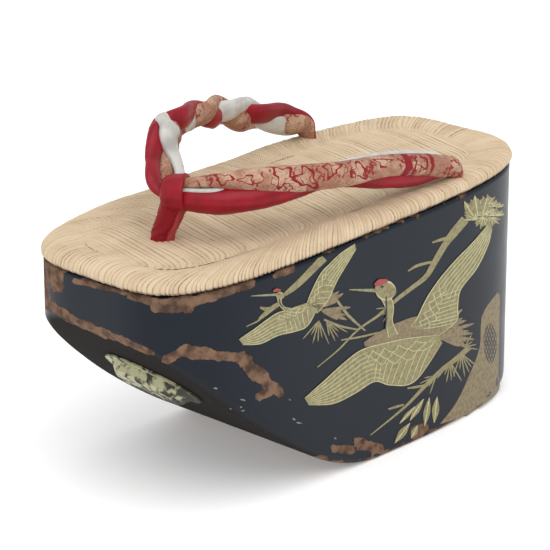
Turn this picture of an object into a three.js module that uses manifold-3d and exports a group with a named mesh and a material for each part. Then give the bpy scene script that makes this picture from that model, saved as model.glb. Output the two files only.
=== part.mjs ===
// Okobo: a tall lacquered wooden sandal with a rush mat and a plaited thong, in millimetres.
// +X points to the toe, +Y to the wearer's left and +Z up. The origin is on the floor, under the middle.
import * as THREE from 'three';
import { mergeVertices } from 'three/addons/utils/BufferGeometryUtils.js';
import Module from 'manifold-3d';

const wasm = await Module();
wasm.setup();

// Plan outline: a rounded oblong, a little wider at the toe
const LENGTH = 220;
const WIDTH = 98;
const TOE_FLARE = 0.03;
const TOE_SQUARENESS = 4.16;
const HEEL_SQUARENESS = 3.89;
const OUTLINE_POINTS = 96;

// Gap kept between pieces that touch
const CLEARANCE = 0.3;

// Platform block: top plane, underside arcs and the hollow
const TOE_TOP = 94.3;
const HEEL_TOP = 103;
const BLOCK_INSET = 0.8;
const BASE_END = -4;
const BREAST_RADIUS = 66;
const BREAST_ANGLE = THREE.MathUtils.degToRad(31);
const SLANT_RADIUS = 345;
const TOP_EDGE_RADIUS = 0.8;
const LOWER_EDGE = [
  { x: -106, radius: 8 },
  { x: -60, radius: 3.5 },
  { x: -35, radius: 1.8 },
  { x: 0, radius: 2 },
  { x: 40, radius: 5 },
  { x: 85, radius: 6 },
  { x: 109, radius: 2 },
];
const HOLLOW = {
  middle: -46, halfLength: 27, halfWidth: 27, squareness: 3.2, roof: 52, roofRadius: 9, draft: 2,
  points: 48, below: 2,
};

// Rush mat: section through its rolled rim, measured inwards from the outline and up from its underside
const MAT_SECTION = [
  { inset: 3.2, rise: 0 },
  { inset: 1.0, rise: 0.8 },
  { inset: 0, rise: 2.7 },
  { inset: 0.8, rise: 4.6 },
  { inset: 3.2, rise: 6.0 },
  { inset: 7, rise: 6.5 },
  { inset: 11.5, rise: 6.0 },
  { inset: 15.5, rise: 4.9 },
  { inset: 22, rise: 4.4 },
];
const MAT_MIDDLE_RISE = 4.2;

// Holes that the thong goes through, with the way each one runs down
const FRONT_HOLE = { top: [69.7, -1.7, 108], bottom: [82.2, 5.3, 34], radius: 4.6 };
const REAR_HOLE = { top: [-56.5, 41, 109.5], bottom: [-50, 20, 46], radius: 4.8 };
const REAR_LEG_END = 0.78;

// Thong strands
const STRAND_SIDES = 10;
const STRAND_STEPS = 30;
const TUBE_RADIUS = 4.8;
const PLAIT_TUBE = { halfWidth: 5.2, halfThickness: 3.1 };

// Knot: the neck where both straps meet, and the loop's band around it
const KNOT_LEFT = new THREE.Vector3(63.9, 5.9, 120.6);
const KNOT_RIGHT = new THREE.Vector3(68.1, -1.5, 120.2);
const NECK_RADIUS = 5.4;
const NECK_SHOWING = 0.8;
const BAND_THICKNESS = 1.6;
const BAND_EDGE = 0.8;

// Right strap: middle line of the plait from the knot down into the rear hole; spread is the half width
// that the strands swing through, fill the share of the full tube size and turn counts whole plait turns
const RIGHT_STRAP = [
  { x: 66.6, y: 0.6, z: 120.4, spread: 2.4, fill: 0.62, turn: -0.02 },
  { x: 65.5, y: -6.5, z: 122.6, spread: 4.4, fill: 0.88, turn: 0 },
  { x: 59.5, y: -13.5, z: 125.6, spread: 5.4, fill: 0.95, turn: 0.03 },
  { x: 54.5, y: -18, z: 130, spread: 5, fill: 1, turn: 0.12 },
  { x: 49, y: -21, z: 135, spread: 4, fill: 1, turn: 0.42 },
  { x: 42, y: -24.4, z: 137, spread: 3.5, fill: 1, turn: 0.68 },
  { x: 28, y: -30, z: 136, spread: 3.4, fill: 1, turn: 0.88 },
  { x: 15, y: -34, z: 134.5, spread: 3.4, fill: 1, turn: 1.09 },
  { x: 1, y: -38, z: 131.5, spread: 3.4, fill: 1, turn: 1.37 },
  { x: -14, y: -40.5, z: 126.6, spread: 3.6, fill: 1, turn: 1.6 },
  { x: -29, y: -42.5, z: 121.6, spread: 3.6, fill: 0.98, turn: 1.8 },
  { x: -43, y: -43, z: 116.5, spread: 2.8, fill: 0.95, turn: 1.95 },
  { x: -53.5, y: -42, z: 112.8, spread: 1.2, fill: 0.68, turn: 2.05 },
  { x: -56.6, y: -40.8, z: 105, spread: 0.4, fill: 0.56, turn: 2.1 },
];
const PLAIT_FACE = new THREE.Vector3(-0.65, -0.68, -0.34);
const PLAIT_LEAN = THREE.MathUtils.degToRad(35);
const PLAIT_DEPTH = 2.6;
const PLAIT_FULL_SPREAD = 3.4;
const PLAIT_CORE = { width: 0.9, halfThickness: 2.2 };

// Left strap: three tubes laid together; each has its own column of heights, tuck is the red tube's way
// inwards, inner the white tube's, and fill the share of the full tube size
const LEFT_STRAP = [
  { x: 66.4, y: 1.8, brocade: 123.6, red: 118.4, white: 121, tuck: -1, inner: 2, fill: 0.58 },
  { x: 59, y: 15, brocade: 126.4, red: 118.2, white: 121.4, tuck: -1, inner: 5, fill: 0.82 },
  { x: 51, y: 22.5, brocade: 126.6, red: 118.8, white: 121.8, tuck: -1, inner: 6.5, fill: 0.92 },
  { x: 41, y: 28.5, brocade: 125.4, red: 119.6, white: 121.4, tuck: 0, inner: 6.5, fill: 0.98 },
  { x: 29, y: 32.8, brocade: 124.4, red: 121, white: 121.2, tuck: 1.5, inner: 6.5, fill: 1.04 },
  { x: 15.6, y: 36, brocade: 123.2, red: 121.4, white: 121, tuck: 3, inner: 6.5, fill: 1 },
  { x: 1.4, y: 38.6, brocade: 121.8, red: 119.4, white: 120.8, tuck: 3, inner: 6.5, fill: 0.95 },
  { x: -14, y: 40.3, brocade: 121.2, red: 116, white: 120.4, tuck: 2, inner: 6.5, fill: 0.9 },
  { x: -31, y: 41.2, brocade: 118, red: 112.8, white: 118.2, tuck: 2, inner: 6, fill: 0.88 },
  { x: -45, y: 41.2, brocade: 113.6, red: 112, white: 115.4, tuck: 1, inner: 3.5, fill: 0.8 },
  { x: -54, y: 40.9, brocade: 111.4, red: 111.2, white: 111.6, tuck: 0, inner: 1.2, fill: 0.58 },
  { x: -56.6, y: 40.8, brocade: 105, red: 105, white: 105, tuck: 0, inner: 0.4, fill: 0.56 },
];
const LEFT_STRANDS = [
  { height: 'brocade', inwards: null },
  { height: 'red', inwards: 'tuck' },
  { height: 'white', inwards: 'inner' },
];
const LEFT_CORE_SIZE = 0.75;

// Toe loop: its flat folded leg from the knot down into the front hole
const LOOP_LEG_FACE = new THREE.Vector3(1, 0, 0.3);
const LOOP_LEG = [
  { x: 66.3, y: 1.4, z: 115.5, halfWidth: 4.8, halfThickness: 3.2 },
  { x: 67.6, y: 0.6, z: 110, halfWidth: 4.8, halfThickness: 3.2 },
  { x: 69.8, y: -0.6, z: 104.5, halfWidth: 4.3, halfThickness: 3.6 },
  { x: 71, y: -1, z: 100.5, halfWidth: 4.1, halfThickness: 4.1 },
  { x: 76.4, y: 2.1, z: 68, halfWidth: 4.1, halfThickness: 4.1 },
];

// Front plate: a flange and a box cap across the slanting underside, turned a little out of square
const PLATE = {
  middle: 83.5, side: 7, turn: THREE.MathUtils.degToRad(-17), flangeLength: 44, flangeWidth: 24,
  flangeThickness: 0.8, flangeCorner: 2.4, capLength: 37, capWidth: 15, capHeight: 4.4, capTaper: 6,
  capCorner: 5, edge: 1, points: 32,
};

const vector = (x, y, z) => new THREE.Vector3(x, y, z);
const place = ([x, y, z]) => vector(x, y, z);
const turns = (index, count) => (index / count) * Math.PI * 2;

// A value read from a table by straight lines between its rows
function along(rows, x, key) {
  const last = rows.length - 1;
  if (x <= rows[0].x) return rows[0][key];
  if (x >= rows[last].x) return rows[last][key];
  const next = rows.findIndex((row) => row.x > x);
  const share = (x - rows[next - 1].x) / (rows[next].x - rows[next - 1].x);
  return THREE.MathUtils.lerp(rows[next - 1][key], rows[next][key], share);
}

// A rounded oblong's radius at an angle, from its half sizes and squareness
function oblongRadius(angle, halfLength, halfWidth, squareness) {
  const across = Math.abs(Math.cos(angle) / halfLength) ** squareness;
  const over = Math.abs(Math.sin(angle) / halfWidth) ** squareness;
  return (across + over) ** (-1 / squareness);
}

// A point of the sandal's plan outline, moved inwards by an inset
function outlinePoint(angle, inset) {
  const squareness = Math.cos(angle) > 0 ? TOE_SQUARENESS : HEEL_SQUARENESS;
  const radius = oblongRadius(angle, LENGTH / 2 - inset, WIDTH / 2 - inset, squareness);
  const x = radius * Math.cos(angle);
  const flare = 1 + (TOE_FLARE * x) / (LENGTH / 2);
  return new THREE.Vector2(x, radius * Math.sin(angle) * flare);
}

// Height of the block's top plane
function topHeight(x) {
  return THREE.MathUtils.lerp(HEEL_TOP, TOE_TOP, x / LENGTH + 0.5);
}

// Height of the underside: flat under the heel, then two arcs that run on into each other
function undersideHeight(x) {
  const joinX = BASE_END + BREAST_RADIUS * Math.sin(BREAST_ANGLE);
  if (x <= BASE_END) return 0;
  if (x <= joinX) return BREAST_RADIUS - Math.sqrt(BREAST_RADIUS ** 2 - (x - BASE_END) ** 2);
  const joinZ = BREAST_RADIUS * (1 - Math.cos(BREAST_ANGLE));
  const centreX = joinX - SLANT_RADIUS * Math.sin(BREAST_ANGLE);
  const centreZ = joinZ + SLANT_RADIUS * Math.cos(BREAST_ANGLE);
  return centreZ - Math.sqrt(SLANT_RADIUS ** 2 - (x - centreX) ** 2);
}

// Closed skin over a stack of rings with equal point counts, its two ends shut by fans
function loft(rings) {
  const count = rings[0].length;
  const positions = rings.flat().flatMap((point) => point.toArray());
  const index = [];
  for (let row = 0; row < rings.length - 1; row += 1) {
    for (let column = 0; column < count; column += 1) {
      const here = row * count + column;
      const beside = row * count + ((column + 1) % count);
      index.push(here, beside, beside + count, here, beside + count, here + count);
    }
  }
  const shutEnd = (ring, start, flip) => {
    const middle = ring.reduce((sum, point) => sum.add(point), vector(0, 0, 0)).divideScalar(count);
    const tip = positions.length / 3;
    positions.push(...middle.toArray());
    for (let column = 0; column < count; column += 1) {
      const beside = start + ((column + 1) % count);
      index.push(tip, flip ? beside : start + column, flip ? start + column : beside);
    }
  };
  shutEnd(rings[0], 0, true);
  shutEnd(rings[rings.length - 1], (rings.length - 1) * count, false);
  const geometry = new THREE.BufferGeometry();
  geometry.setAttribute('position', new THREE.Float32BufferAttribute(positions, 3));
  geometry.setIndex(index);
  return geometry;
}

// Solid for joins and cuts
function toSolid(geometry) {
  geometry.deleteAttribute('normal');
  geometry.deleteAttribute('uv');
  const merged = mergeVertices(geometry);
  const vertProperties = new Float32Array(merged.getAttribute('position').array);
  const triVerts = new Uint32Array(merged.getIndex().array);
  return new wasm.Manifold(new wasm.Mesh({ numProp: 3, vertProperties, triVerts }));
}

function toGeometry(solid) {
  const mesh = solid.getMesh();
  const geometry = new THREE.BufferGeometry();
  geometry.setAttribute('position', new THREE.BufferAttribute(mesh.vertProperties, 3));
  geometry.setIndex(new THREE.BufferAttribute(mesh.triVerts, 1));
  geometry.computeVertexNormals();
  return geometry;
}

// Round bar between two points, for holes and for the legs in them
function bar(from, to, radius) {
  const axis = to.clone().sub(from);
  const geometry = new THREE.CylinderGeometry(radius, radius, axis.length(), 20);
  const upright = vector(0, 1, 0);
  geometry.applyQuaternion(new THREE.Quaternion().setFromUnitVectors(upright, axis.clone().normalize()));
  const middle = from.clone().add(to).multiplyScalar(0.5);
  return toSolid(geometry.translate(middle.x, middle.y, middle.z));
}

const mirrored = ([x, y, z]) => [x, -y, z];
const rearEnds = [
  { top: place(REAR_HOLE.top), bottom: place(REAR_HOLE.bottom) },
  { top: place(mirrored(REAR_HOLE.top)), bottom: place(mirrored(REAR_HOLE.bottom)) },
];

// The three holes as solids to cut away
function thongHoles() {
  const front = bar(place(FRONT_HOLE.top), place(FRONT_HOLE.bottom), FRONT_HOLE.radius);
  return rearEnds.reduce((holes, end) => holes.add(bar(end.top, end.bottom, REAR_HOLE.radius)), front);
}

// Ring of the plan outline at one inset, lifted by a height function of x
function outlineRing(insetAt, heightAt, shrink = 1) {
  return Array.from({ length: OUTLINE_POINTS }, (_, step) => {
    const angle = turns(step, OUTLINE_POINTS);
    const guide = outlinePoint(angle, 0);
    const plan = outlinePoint(angle, insetAt(guide.x)).multiplyScalar(shrink);
    return vector(plan.x, plan.y, heightAt(plan.x, guide.x));
  });
}

// The hollow carved up into the block from its base
function hollowSolid() {
  const ring = (height, inset) => Array.from({ length: HOLLOW.points }, (_, step) => {
    const angle = turns(step, HOLLOW.points);
    const halfLength = HOLLOW.halfLength - inset;
    const radius = oblongRadius(angle, halfLength, HOLLOW.halfWidth - inset, HOLLOW.squareness);
    return vector(HOLLOW.middle + radius * Math.cos(angle), radius * Math.sin(angle), height);
  });
  const shoulder = HOLLOW.roof - HOLLOW.roofRadius;
  const rings = [ring(-HOLLOW.below, 0), ring(shoulder, HOLLOW.draft)];
  [30, 60, 90].map(THREE.MathUtils.degToRad).forEach((angle) => {
    const inset = HOLLOW.draft + HOLLOW.roofRadius * (1 - Math.cos(angle));
    rings.push(ring(shoulder + HOLLOW.roofRadius * Math.sin(angle), inset));
  });
  return toSolid(loft(rings));
}

// Wooden block: underside, rounded lower edge, upright wall and flat top
function platformGeometry() {
  const edgeRadius = (x) => along(LOWER_EDGE, x, 'radius');
  const rings = [];
  [0.25, 0.5, 0.75].forEach((shrink) => {
    rings.push(outlineRing((x) => BLOCK_INSET + edgeRadius(x), undersideHeight, shrink));
  });
  [90, 65, 40, 18, 0].map(THREE.MathUtils.degToRad).forEach((angle) => {
    const inset = (x) => BLOCK_INSET + edgeRadius(x) * (1 - Math.cos(angle));
    const height = (x, guide) => undersideHeight(x) + edgeRadius(guide) * (1 - Math.sin(angle));
    rings.push(outlineRing(inset, height));
  });
  rings.push(outlineRing(() => BLOCK_INSET, (x) => topHeight(x) - TOP_EDGE_RADIUS));
  rings.push(outlineRing(() => BLOCK_INSET + TOP_EDGE_RADIUS, topHeight));
  return toGeometry(toSolid(loft(rings)).subtract(hollowSolid()).subtract(thongHoles()));
}

// Rush mat: flat underneath, rolled rim, dished middle
function matGeometry() {
  const seat = (x) => topHeight(x) + CLEARANCE;
  const rings = MAT_SECTION.map((row) => outlineRing(() => row.inset, (x) => seat(x) + row.rise));
  const inner = MAT_SECTION[MAT_SECTION.length - 1].inset;
  rings.push(outlineRing(() => inner, (x) => seat(x) + MAT_MIDDLE_RISE, 0.5));
  return toGeometry(toSolid(loft(rings)).subtract(thongHoles()));
}

// Curve through a table's x, y and z, and a table value at a share of that curve
const tableCurve = (rows) => new THREE.CatmullRomCurve3(rows.map((row) => vector(row.x, row.y, row.z)));
function tableValue(rows, share, key) {
  const spot = share * (rows.length - 1);
  const row = Math.min(Math.floor(spot), rows.length - 2);
  return THREE.MathUtils.lerp(rows[row][key], rows[row + 1][key], spot - row);
}

// Oval tube along a path; each station has its point, the side its thin way faces, and its half sizes
function ovalTube(stations) {
  const rings = stations.map((station, step) => {
    const before = stations[Math.max(step - 1, 0)].point;
    const after = stations[Math.min(step + 1, stations.length - 1)].point;
    const tangent = after.clone().sub(before).normalize();
    const thin = station.side.clone().addScaledVector(tangent, -station.side.dot(tangent)).normalize();
    const wide = new THREE.Vector3().crossVectors(thin, tangent);
    return Array.from({ length: STRAND_SIDES }, (_, corner) => {
      const angle = turns(corner, STRAND_SIDES);
      return station.point.clone()
        .addScaledVector(wide, station.halfWidth * Math.cos(angle))
        .addScaledVector(thin, station.halfThickness * Math.sin(angle));
    });
  });
  return toSolid(loft(rings));
}

const shares = Array.from({ length: STRAND_STEPS + 1 }, (_, step) => step / STRAND_STEPS);

// Frame of the plait at a share of its length: middle point, the way across its face, and its front
function plaitFrame(share) {
  const curve = tableCurve(RIGHT_STRAP);
  const tangent = curve.getTangent(share);
  const edge = new THREE.Vector3().crossVectors(tangent, PLAIT_FACE).normalize();
  edge.applyAxisAngle(tangent, PLAIT_LEAN);
  const front = new THREE.Vector3().crossVectors(tangent, edge);
  return { point: curve.getPoint(share), edge, front, spread: tableValue(RIGHT_STRAP, share, 'spread') };
}

// One strand of the plait: it swings from edge to edge and passes in front twice a turn
function plaitStrand(order) {
  return ovalTube(shares.map((share) => {
    const { point, edge, front, spread } = plaitFrame(share);
    const fill = tableValue(RIGHT_STRAP, share, 'fill');
    const angle = (tableValue(RIGHT_STRAP, share, 'turn') - order / 3) * Math.PI * 2;
    const depth = -PLAIT_DEPTH * Math.min(1, spread / PLAIT_FULL_SPREAD) * Math.sin(2 * angle);
    point.addScaledVector(edge, spread * Math.cos(angle)).addScaledVector(front, depth);
    const halfWidth = PLAIT_TUBE.halfWidth * fill;
    return { point, side: front, halfWidth, halfThickness: PLAIT_TUBE.halfThickness * fill };
  }));
}

// Filling that runs inside the plait
function plaitCore() {
  return ovalTube(shares.map((share) => {
    const { point, front, spread } = plaitFrame(share);
    const halfWidth = PLAIT_CORE.width * spread;
    return { point, side: front, halfWidth, halfThickness: PLAIT_CORE.halfThickness };
  }));
}

// One tube of the left strap, from a height and an inward distance for each row, and a size
function laidTube(heightOf, inwardsOf, size) {
  const rows = LEFT_STRAP.map((row) => ({ ...row, z: heightOf(row), inwards: inwardsOf(row) }));
  const curve = tableCurve(rows);
  return ovalTube(shares.map((share) => {
    const side = new THREE.Vector3().crossVectors(vector(0, 0, 1), curve.getTangent(share)).normalize();
    const point = curve.getPoint(share).addScaledVector(side, tableValue(rows, share, 'inwards'));
    const radius = TUBE_RADIUS * size * tableValue(rows, share, 'fill');
    return { point, side, halfWidth: radius, halfThickness: radius };
  }));
}

// The three tubes of the left strap and the filling between them
function laidTubes() {
  const count = LEFT_STRANDS.length;
  const inwardsOf = (row, strand) => (strand.inwards ? row[strand.inwards] : 0);
  const tubes = LEFT_STRANDS.map((strand) => {
    return laidTube((row) => row[strand.height], (row) => inwardsOf(row, strand), 1);
  });
  const meanHeight = (row) => LEFT_STRANDS.reduce((sum, strand) => sum + row[strand.height], 0) / count;
  const meanInwards = (row) => LEFT_STRANDS.reduce((sum, strand) => sum + inwardsOf(row, strand), 0) / count;
  return tubes.concat(laidTube(meanHeight, meanInwards, LEFT_CORE_SIZE));
}

// Ends of the loop's band, moved outwards by a margin; the neck shows a little past both
function bandEnds(margin) {
  const step = KNOT_RIGHT.clone().sub(KNOT_LEFT).normalize().multiplyScalar(NECK_SHOWING - margin);
  return { left: KNOT_LEFT.clone().add(step), right: KNOT_RIGHT.clone().sub(step) };
}

// Thong: both straps, the neck at the knot and the legs in the rear holes, joined
function strapGeometry() {
  const neck = bar(KNOT_LEFT, KNOT_RIGHT, NECK_RADIUS);
  const ends = bandEnds(CLEARANCE);
  const bandRoom = bar(ends.left, ends.right, NECK_RADIUS + BAND_THICKNESS + 2 * CLEARANCE);
  const strands = [0, 1, 2].map(plaitStrand).concat(plaitCore(), laidTubes());
  const legs = rearEnds.map(({ top, bottom }) => {
    return bar(top, top.clone().lerp(bottom, REAR_LEG_END), REAR_HOLE.radius - CLEARANCE);
  });
  const straps = strands.reduce((whole, strand) => whole.add(strand));
  return toGeometry(legs.reduce((whole, leg) => whole.add(leg), straps.subtract(bandRoom).add(neck)));
}

// Toe loop: a band turned around the knot's neck, and the leg below it
function loopGeometry() {
  const ends = bandEnds(0);
  const axis = ends.right.clone().sub(ends.left);
  const half = axis.length() / 2;
  const inner = NECK_RADIUS + CLEARANCE;
  const outer = inner + BAND_THICKNESS;
  const section = [
    [inner, -half], [outer - BAND_EDGE, -half], [outer, BAND_EDGE - half],
    [outer, half - BAND_EDGE], [outer - BAND_EDGE, half], [inner, half], [inner, -half],
  ].map(([radius, height]) => new THREE.Vector2(radius, height));
  const band = new THREE.LatheGeometry(section, 28);
  band.applyQuaternion(new THREE.Quaternion().setFromUnitVectors(vector(0, 1, 0), axis.normalize()));
  const middle = KNOT_LEFT.clone().add(KNOT_RIGHT).multiplyScalar(0.5);
  const neckRoom = bar(KNOT_LEFT, KNOT_RIGHT, inner);
  const leg = ovalTube(LOOP_LEG.map((row) => {
    return { ...row, point: vector(row.x, row.y, row.z), side: LOOP_LEG_FACE };
  }));
  return toGeometry(leg.subtract(neckRoom).add(toSolid(band.translate(middle.x, middle.y, middle.z))));
}

// A point over the slanting underside, by its way across, up the slant, and out from the wood
function slantPoint(across, upward, out) {
  const slope = (x) => undersideHeight(x + 0.5) - undersideHeight(x - 0.5);
  const x = PLATE.middle + upward * Math.cos(Math.atan(slope(PLATE.middle)));
  const lean = Math.atan(slope(x));
  return vector(x + out * Math.sin(lean), PLATE.side + across, undersideHeight(x) - out * Math.cos(lean));
}

// Metal cover: thin flange, then a box cap with drawn-in ends
function plateGeometry() {
  const ring = (length, width, corner, out) => Array.from({ length: PLATE.points }, (_, step) => {
    const angle = turns(step, PLATE.points);
    const radius = oblongRadius(angle, length / 2, width / 2, corner);
    const spot = new THREE.Vector2(radius * Math.cos(angle), radius * Math.sin(angle));
    spot.rotateAround(new THREE.Vector2(), PLATE.turn);
    return slantPoint(spot.x, spot.y, out);
  });
  const face = CLEARANCE + PLATE.flangeThickness;
  const crown = face + PLATE.capHeight;
  const flange = (out) => ring(PLATE.flangeLength, PLATE.flangeWidth, PLATE.flangeCorner, out);
  const cap = (drawnIn, edge, out) => {
    return ring(PLATE.capLength - drawnIn - edge, PLATE.capWidth - edge, PLATE.capCorner, out);
  };
  return loft([
    flange(CLEARANCE),
    flange(face),
    cap(0, 0, face),
    cap(PLATE.capTaper, PLATE.edge, crown - PLATE.edge),
    cap(PLATE.capTaper, 3 * PLATE.edge, crown),
  ]);
}

function piece(name, geometry, color, roughness, metalness) {
  geometry.computeVertexNormals();
  const mesh = new THREE.Mesh(geometry, new THREE.MeshStandardMaterial({ color, roughness, metalness }));
  mesh.name = name;
  return mesh;
}

const okobo = new THREE.Group();
okobo.add(piece('platform', platformGeometry(), 0x23262f, 0.3, 0));
okobo.add(piece('rush_mat', matGeometry(), 0xd6c4a0, 0.8, 0));
okobo.add(piece('strap_upper', strapGeometry(), 0xb0182c, 0.5, 0));
okobo.add(piece('toe_loop', loopGeometry(), 0xb8182b, 0.5, 0));
okobo.add(piece('front_plate', plateGeometry(), 0x6f6233, 0.5, 0.6));

export default okobo;
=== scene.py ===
"""Dresses the okobo sandal: lacquered block, rush mat, plaited thong, toe loop and front plate.

Sizes are in millimetres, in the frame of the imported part, and every mesh is written in metres.
"""

import logging
import math
from dataclasses import dataclass, field
from enum import Enum
from typing import Any, Callable, Mapping, Optional, Sequence

import bmesh
import bpy
import numpy as np
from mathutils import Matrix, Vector


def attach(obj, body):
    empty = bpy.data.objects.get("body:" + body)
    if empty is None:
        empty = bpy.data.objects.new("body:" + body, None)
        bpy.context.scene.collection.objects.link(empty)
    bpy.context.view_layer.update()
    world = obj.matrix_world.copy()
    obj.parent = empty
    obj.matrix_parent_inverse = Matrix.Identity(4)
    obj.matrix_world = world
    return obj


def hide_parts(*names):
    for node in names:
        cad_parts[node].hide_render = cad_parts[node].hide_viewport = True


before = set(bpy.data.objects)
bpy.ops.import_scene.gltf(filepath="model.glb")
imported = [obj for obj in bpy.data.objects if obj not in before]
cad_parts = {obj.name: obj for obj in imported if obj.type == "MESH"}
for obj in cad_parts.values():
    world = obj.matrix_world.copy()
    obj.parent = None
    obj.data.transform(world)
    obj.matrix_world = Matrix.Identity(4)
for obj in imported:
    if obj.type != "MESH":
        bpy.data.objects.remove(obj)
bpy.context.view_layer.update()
MM = 0.001
LOG = logging.getLogger("okobo")
Array = np.ndarray
Socket = bpy.types.NodeSocket
Material = bpy.types.Material
Piece = bpy.types.Object
Rows = Sequence[Sequence[float]]
WHITE = (1.0, 1.0, 1.0, 1.0)
NOISE_ROUGHNESS = 0.55


def curve(rows: Rows, shares: Array) -> Array:
    """Reads a smooth line through the rows of a table.

    Args:
        rows: Table rows, each a point of any number of columns.
        shares: Places along the line, from 0 at the first row to 1 at the last.

    Returns:
        One row of values for each share.
    """
    table = np.asarray(rows, float)
    last = len(table) - 1
    spot = np.clip(shares, 0.0, 1.0) * last
    step = np.minimum(spot.astype(int), last - 1)
    t = (spot - step)[:, None]
    a, b, c, d = (table[np.clip(step + offset, 0, last)] for offset in (-1, 0, 1, 2))
    return b + 0.5 * t * (c - a + t * (2 * a - 5 * b + 4 * c - d + t * (3 * (b - c) + d - a)))


def unit(vectors: Array) -> Array:
    """Scales each vector to length one."""
    return vectors / np.maximum(np.linalg.norm(vectors, axis=-1, keepdims=True), 1e-9)


def smoothstep(low: float, high: float, value: Array) -> Array:
    """Rises from 0 at low to 1 at high with soft ends."""
    t = np.clip((value - low) / (high - low), 0.0, 1.0)
    return t * t * (3 - 2 * t)


def ripple(value: Array, seed: int, waves: int, low: float, high: float) -> Array:
    """Adds up sine waves of seeded phase into a smooth irregular line of about unit size.

    Args:
        value: Places, in turns of the whole line.
        seed: Seed of the phases.
        waves: Number of sine waves.
        low: Fewest whole waves in a turn.
        high: Most whole waves in a turn.

    Returns:
        The wavy values.
    """
    rng = np.random.default_rng(seed)
    counts = np.round(np.linspace(low, high, waves))
    phases = rng.uniform(0, 2 * math.pi, waves)
    return sum(np.sin(2 * math.pi * n * value + p) for n, p in zip(counts, phases)) / math.sqrt(waves)


def sway(row: Sequence[float], value: Array) -> Array:
    """Gives the ripple of a row of size, seed, waves, fewest and most."""
    size, seed, waves, low, high = row
    return size * ripple(value, seed, waves, low, high)


def read(rows: Rows, places: Array) -> Array:
    """Reads a table of two columns, in straight lines between its rows."""
    table = np.array(rows, float)
    return np.interp(places, table[:, 0], table[:, 1])


def oval(angle: Array, half_length: Any, half_width: Any, squareness: Any) -> Array:
    """Gives the distance from the middle of a rounded oblong to its edge, at angles."""
    along = np.abs(np.cos(angle) / half_length) ** squareness
    return (along + np.abs(np.sin(angle) / half_width) ** squareness) ** (-1 / squareness)


class Tree:
    """A material's node tree, made by short calls."""

    def __init__(self, name: str) -> None:
        """Starts an empty material with that name.

        Args:
            name: Name of the material.
        """
        self.material = bpy.data.materials.new(name)
        self.material.use_nodes = True
        self.nodes = self.material.node_tree.nodes
        self.links = self.material.node_tree.links
        self.nodes.clear()
        self.place = self.add("ShaderNodeTexCoord").outputs["Object"]

    def add(self, kind: str, inputs: Optional[Mapping[Any, Any]] = None, **settings: Any) -> bpy.types.Node:
        """Adds a node.

        Args:
            kind: Node type.
            inputs: Values or sockets for its inputs.
            **settings: Its own settings.

        Returns:
            The node.
        """
        node = self.nodes.new(kind)
        for key, value in settings.items():
            setattr(node, key, value)
        for key, value in (inputs or {}).items():
            if isinstance(value, Socket):
                self.links.new(value, node.inputs[key])
            else:
                node.inputs[key].default_value = value
        return node

    def field(self, name: str) -> Socket:
        """Reads a mesh attribute."""
        return self.add("ShaderNodeAttribute", attribute_name=name).outputs["Fac"]

    def noise(self, size: float, detail: float) -> Socket:
        """Makes noise whose features are about that many millimetres wide."""
        inputs = {"Vector": self.place, "Scale": 1 / (size * MM), "Detail": detail}
        return self.add("ShaderNodeTexNoise", {**inputs, "Roughness": NOISE_ROUGHNESS}).outputs["Fac"]

    def swing(self, size: float, detail: float, reach: float) -> Socket:
        """Makes noise that swings about nothing, by up to half the reach either way."""
        return self.math("MULTIPLY", self.math("SUBTRACT", self.noise(size, detail), 0.5), reach)

    def math(self, operation: str, a: Any, b: Any) -> Socket:
        """Joins two values by an operation."""
        return self.add("ShaderNodeMath", {0: a, 1: b}, operation=operation).outputs[0]

    def steps(self, value: Any, low: float, high: float) -> Socket:
        """Rises softly from 0 at low to 1 at high."""
        inputs = {"Value": value, "From Min": low, "From Max": high}
        return self.add("ShaderNodeMapRange", inputs, interpolation_type="SMOOTHSTEP").outputs[0]

    def mix(self, share: Any, a: Any, b: Any) -> Socket:
        """Mixes two colours."""
        inputs = {0: share, 6: rgba(a), 7: rgba(b)}
        return self.add("ShaderNodeMix", inputs, data_type="RGBA").outputs[2]

    def blend(self, share: Any, a: Any, b: Any) -> Socket:
        """Mixes two numbers."""
        return self.add("ShaderNodeMix", {0: share, 2: a, 3: b}, data_type="FLOAT").outputs[0]

    def bump(self, height: Any, depth: float) -> Socket:
        """Turns a height into a bent normal, with a depth in millimetres."""
        inputs = {"Height": height, "Distance": depth * MM, "Strength": 1.0}
        return self.add("ShaderNodeBump", inputs).outputs[0]

    def shade(self, inputs: Mapping[str, Any]) -> Material:
        """Ends the tree with a surface.

        Args:
            inputs: Values or sockets of the surface shader.

        Returns:
            The finished material.
        """
        full = {key: rgba(value) if key == "Base Color" else value for key, value in inputs.items()}
        surface = self.add("ShaderNodeBsdfPrincipled", full)
        self.add("ShaderNodeOutputMaterial", {"Surface": surface.outputs[0]})
        return self.material


def rgba(value: Any) -> Any:
    """Adds a full alpha to a plain colour and leaves a socket as it is."""
    return value if isinstance(value, Socket) else (*value[:3], 1.0)


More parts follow.
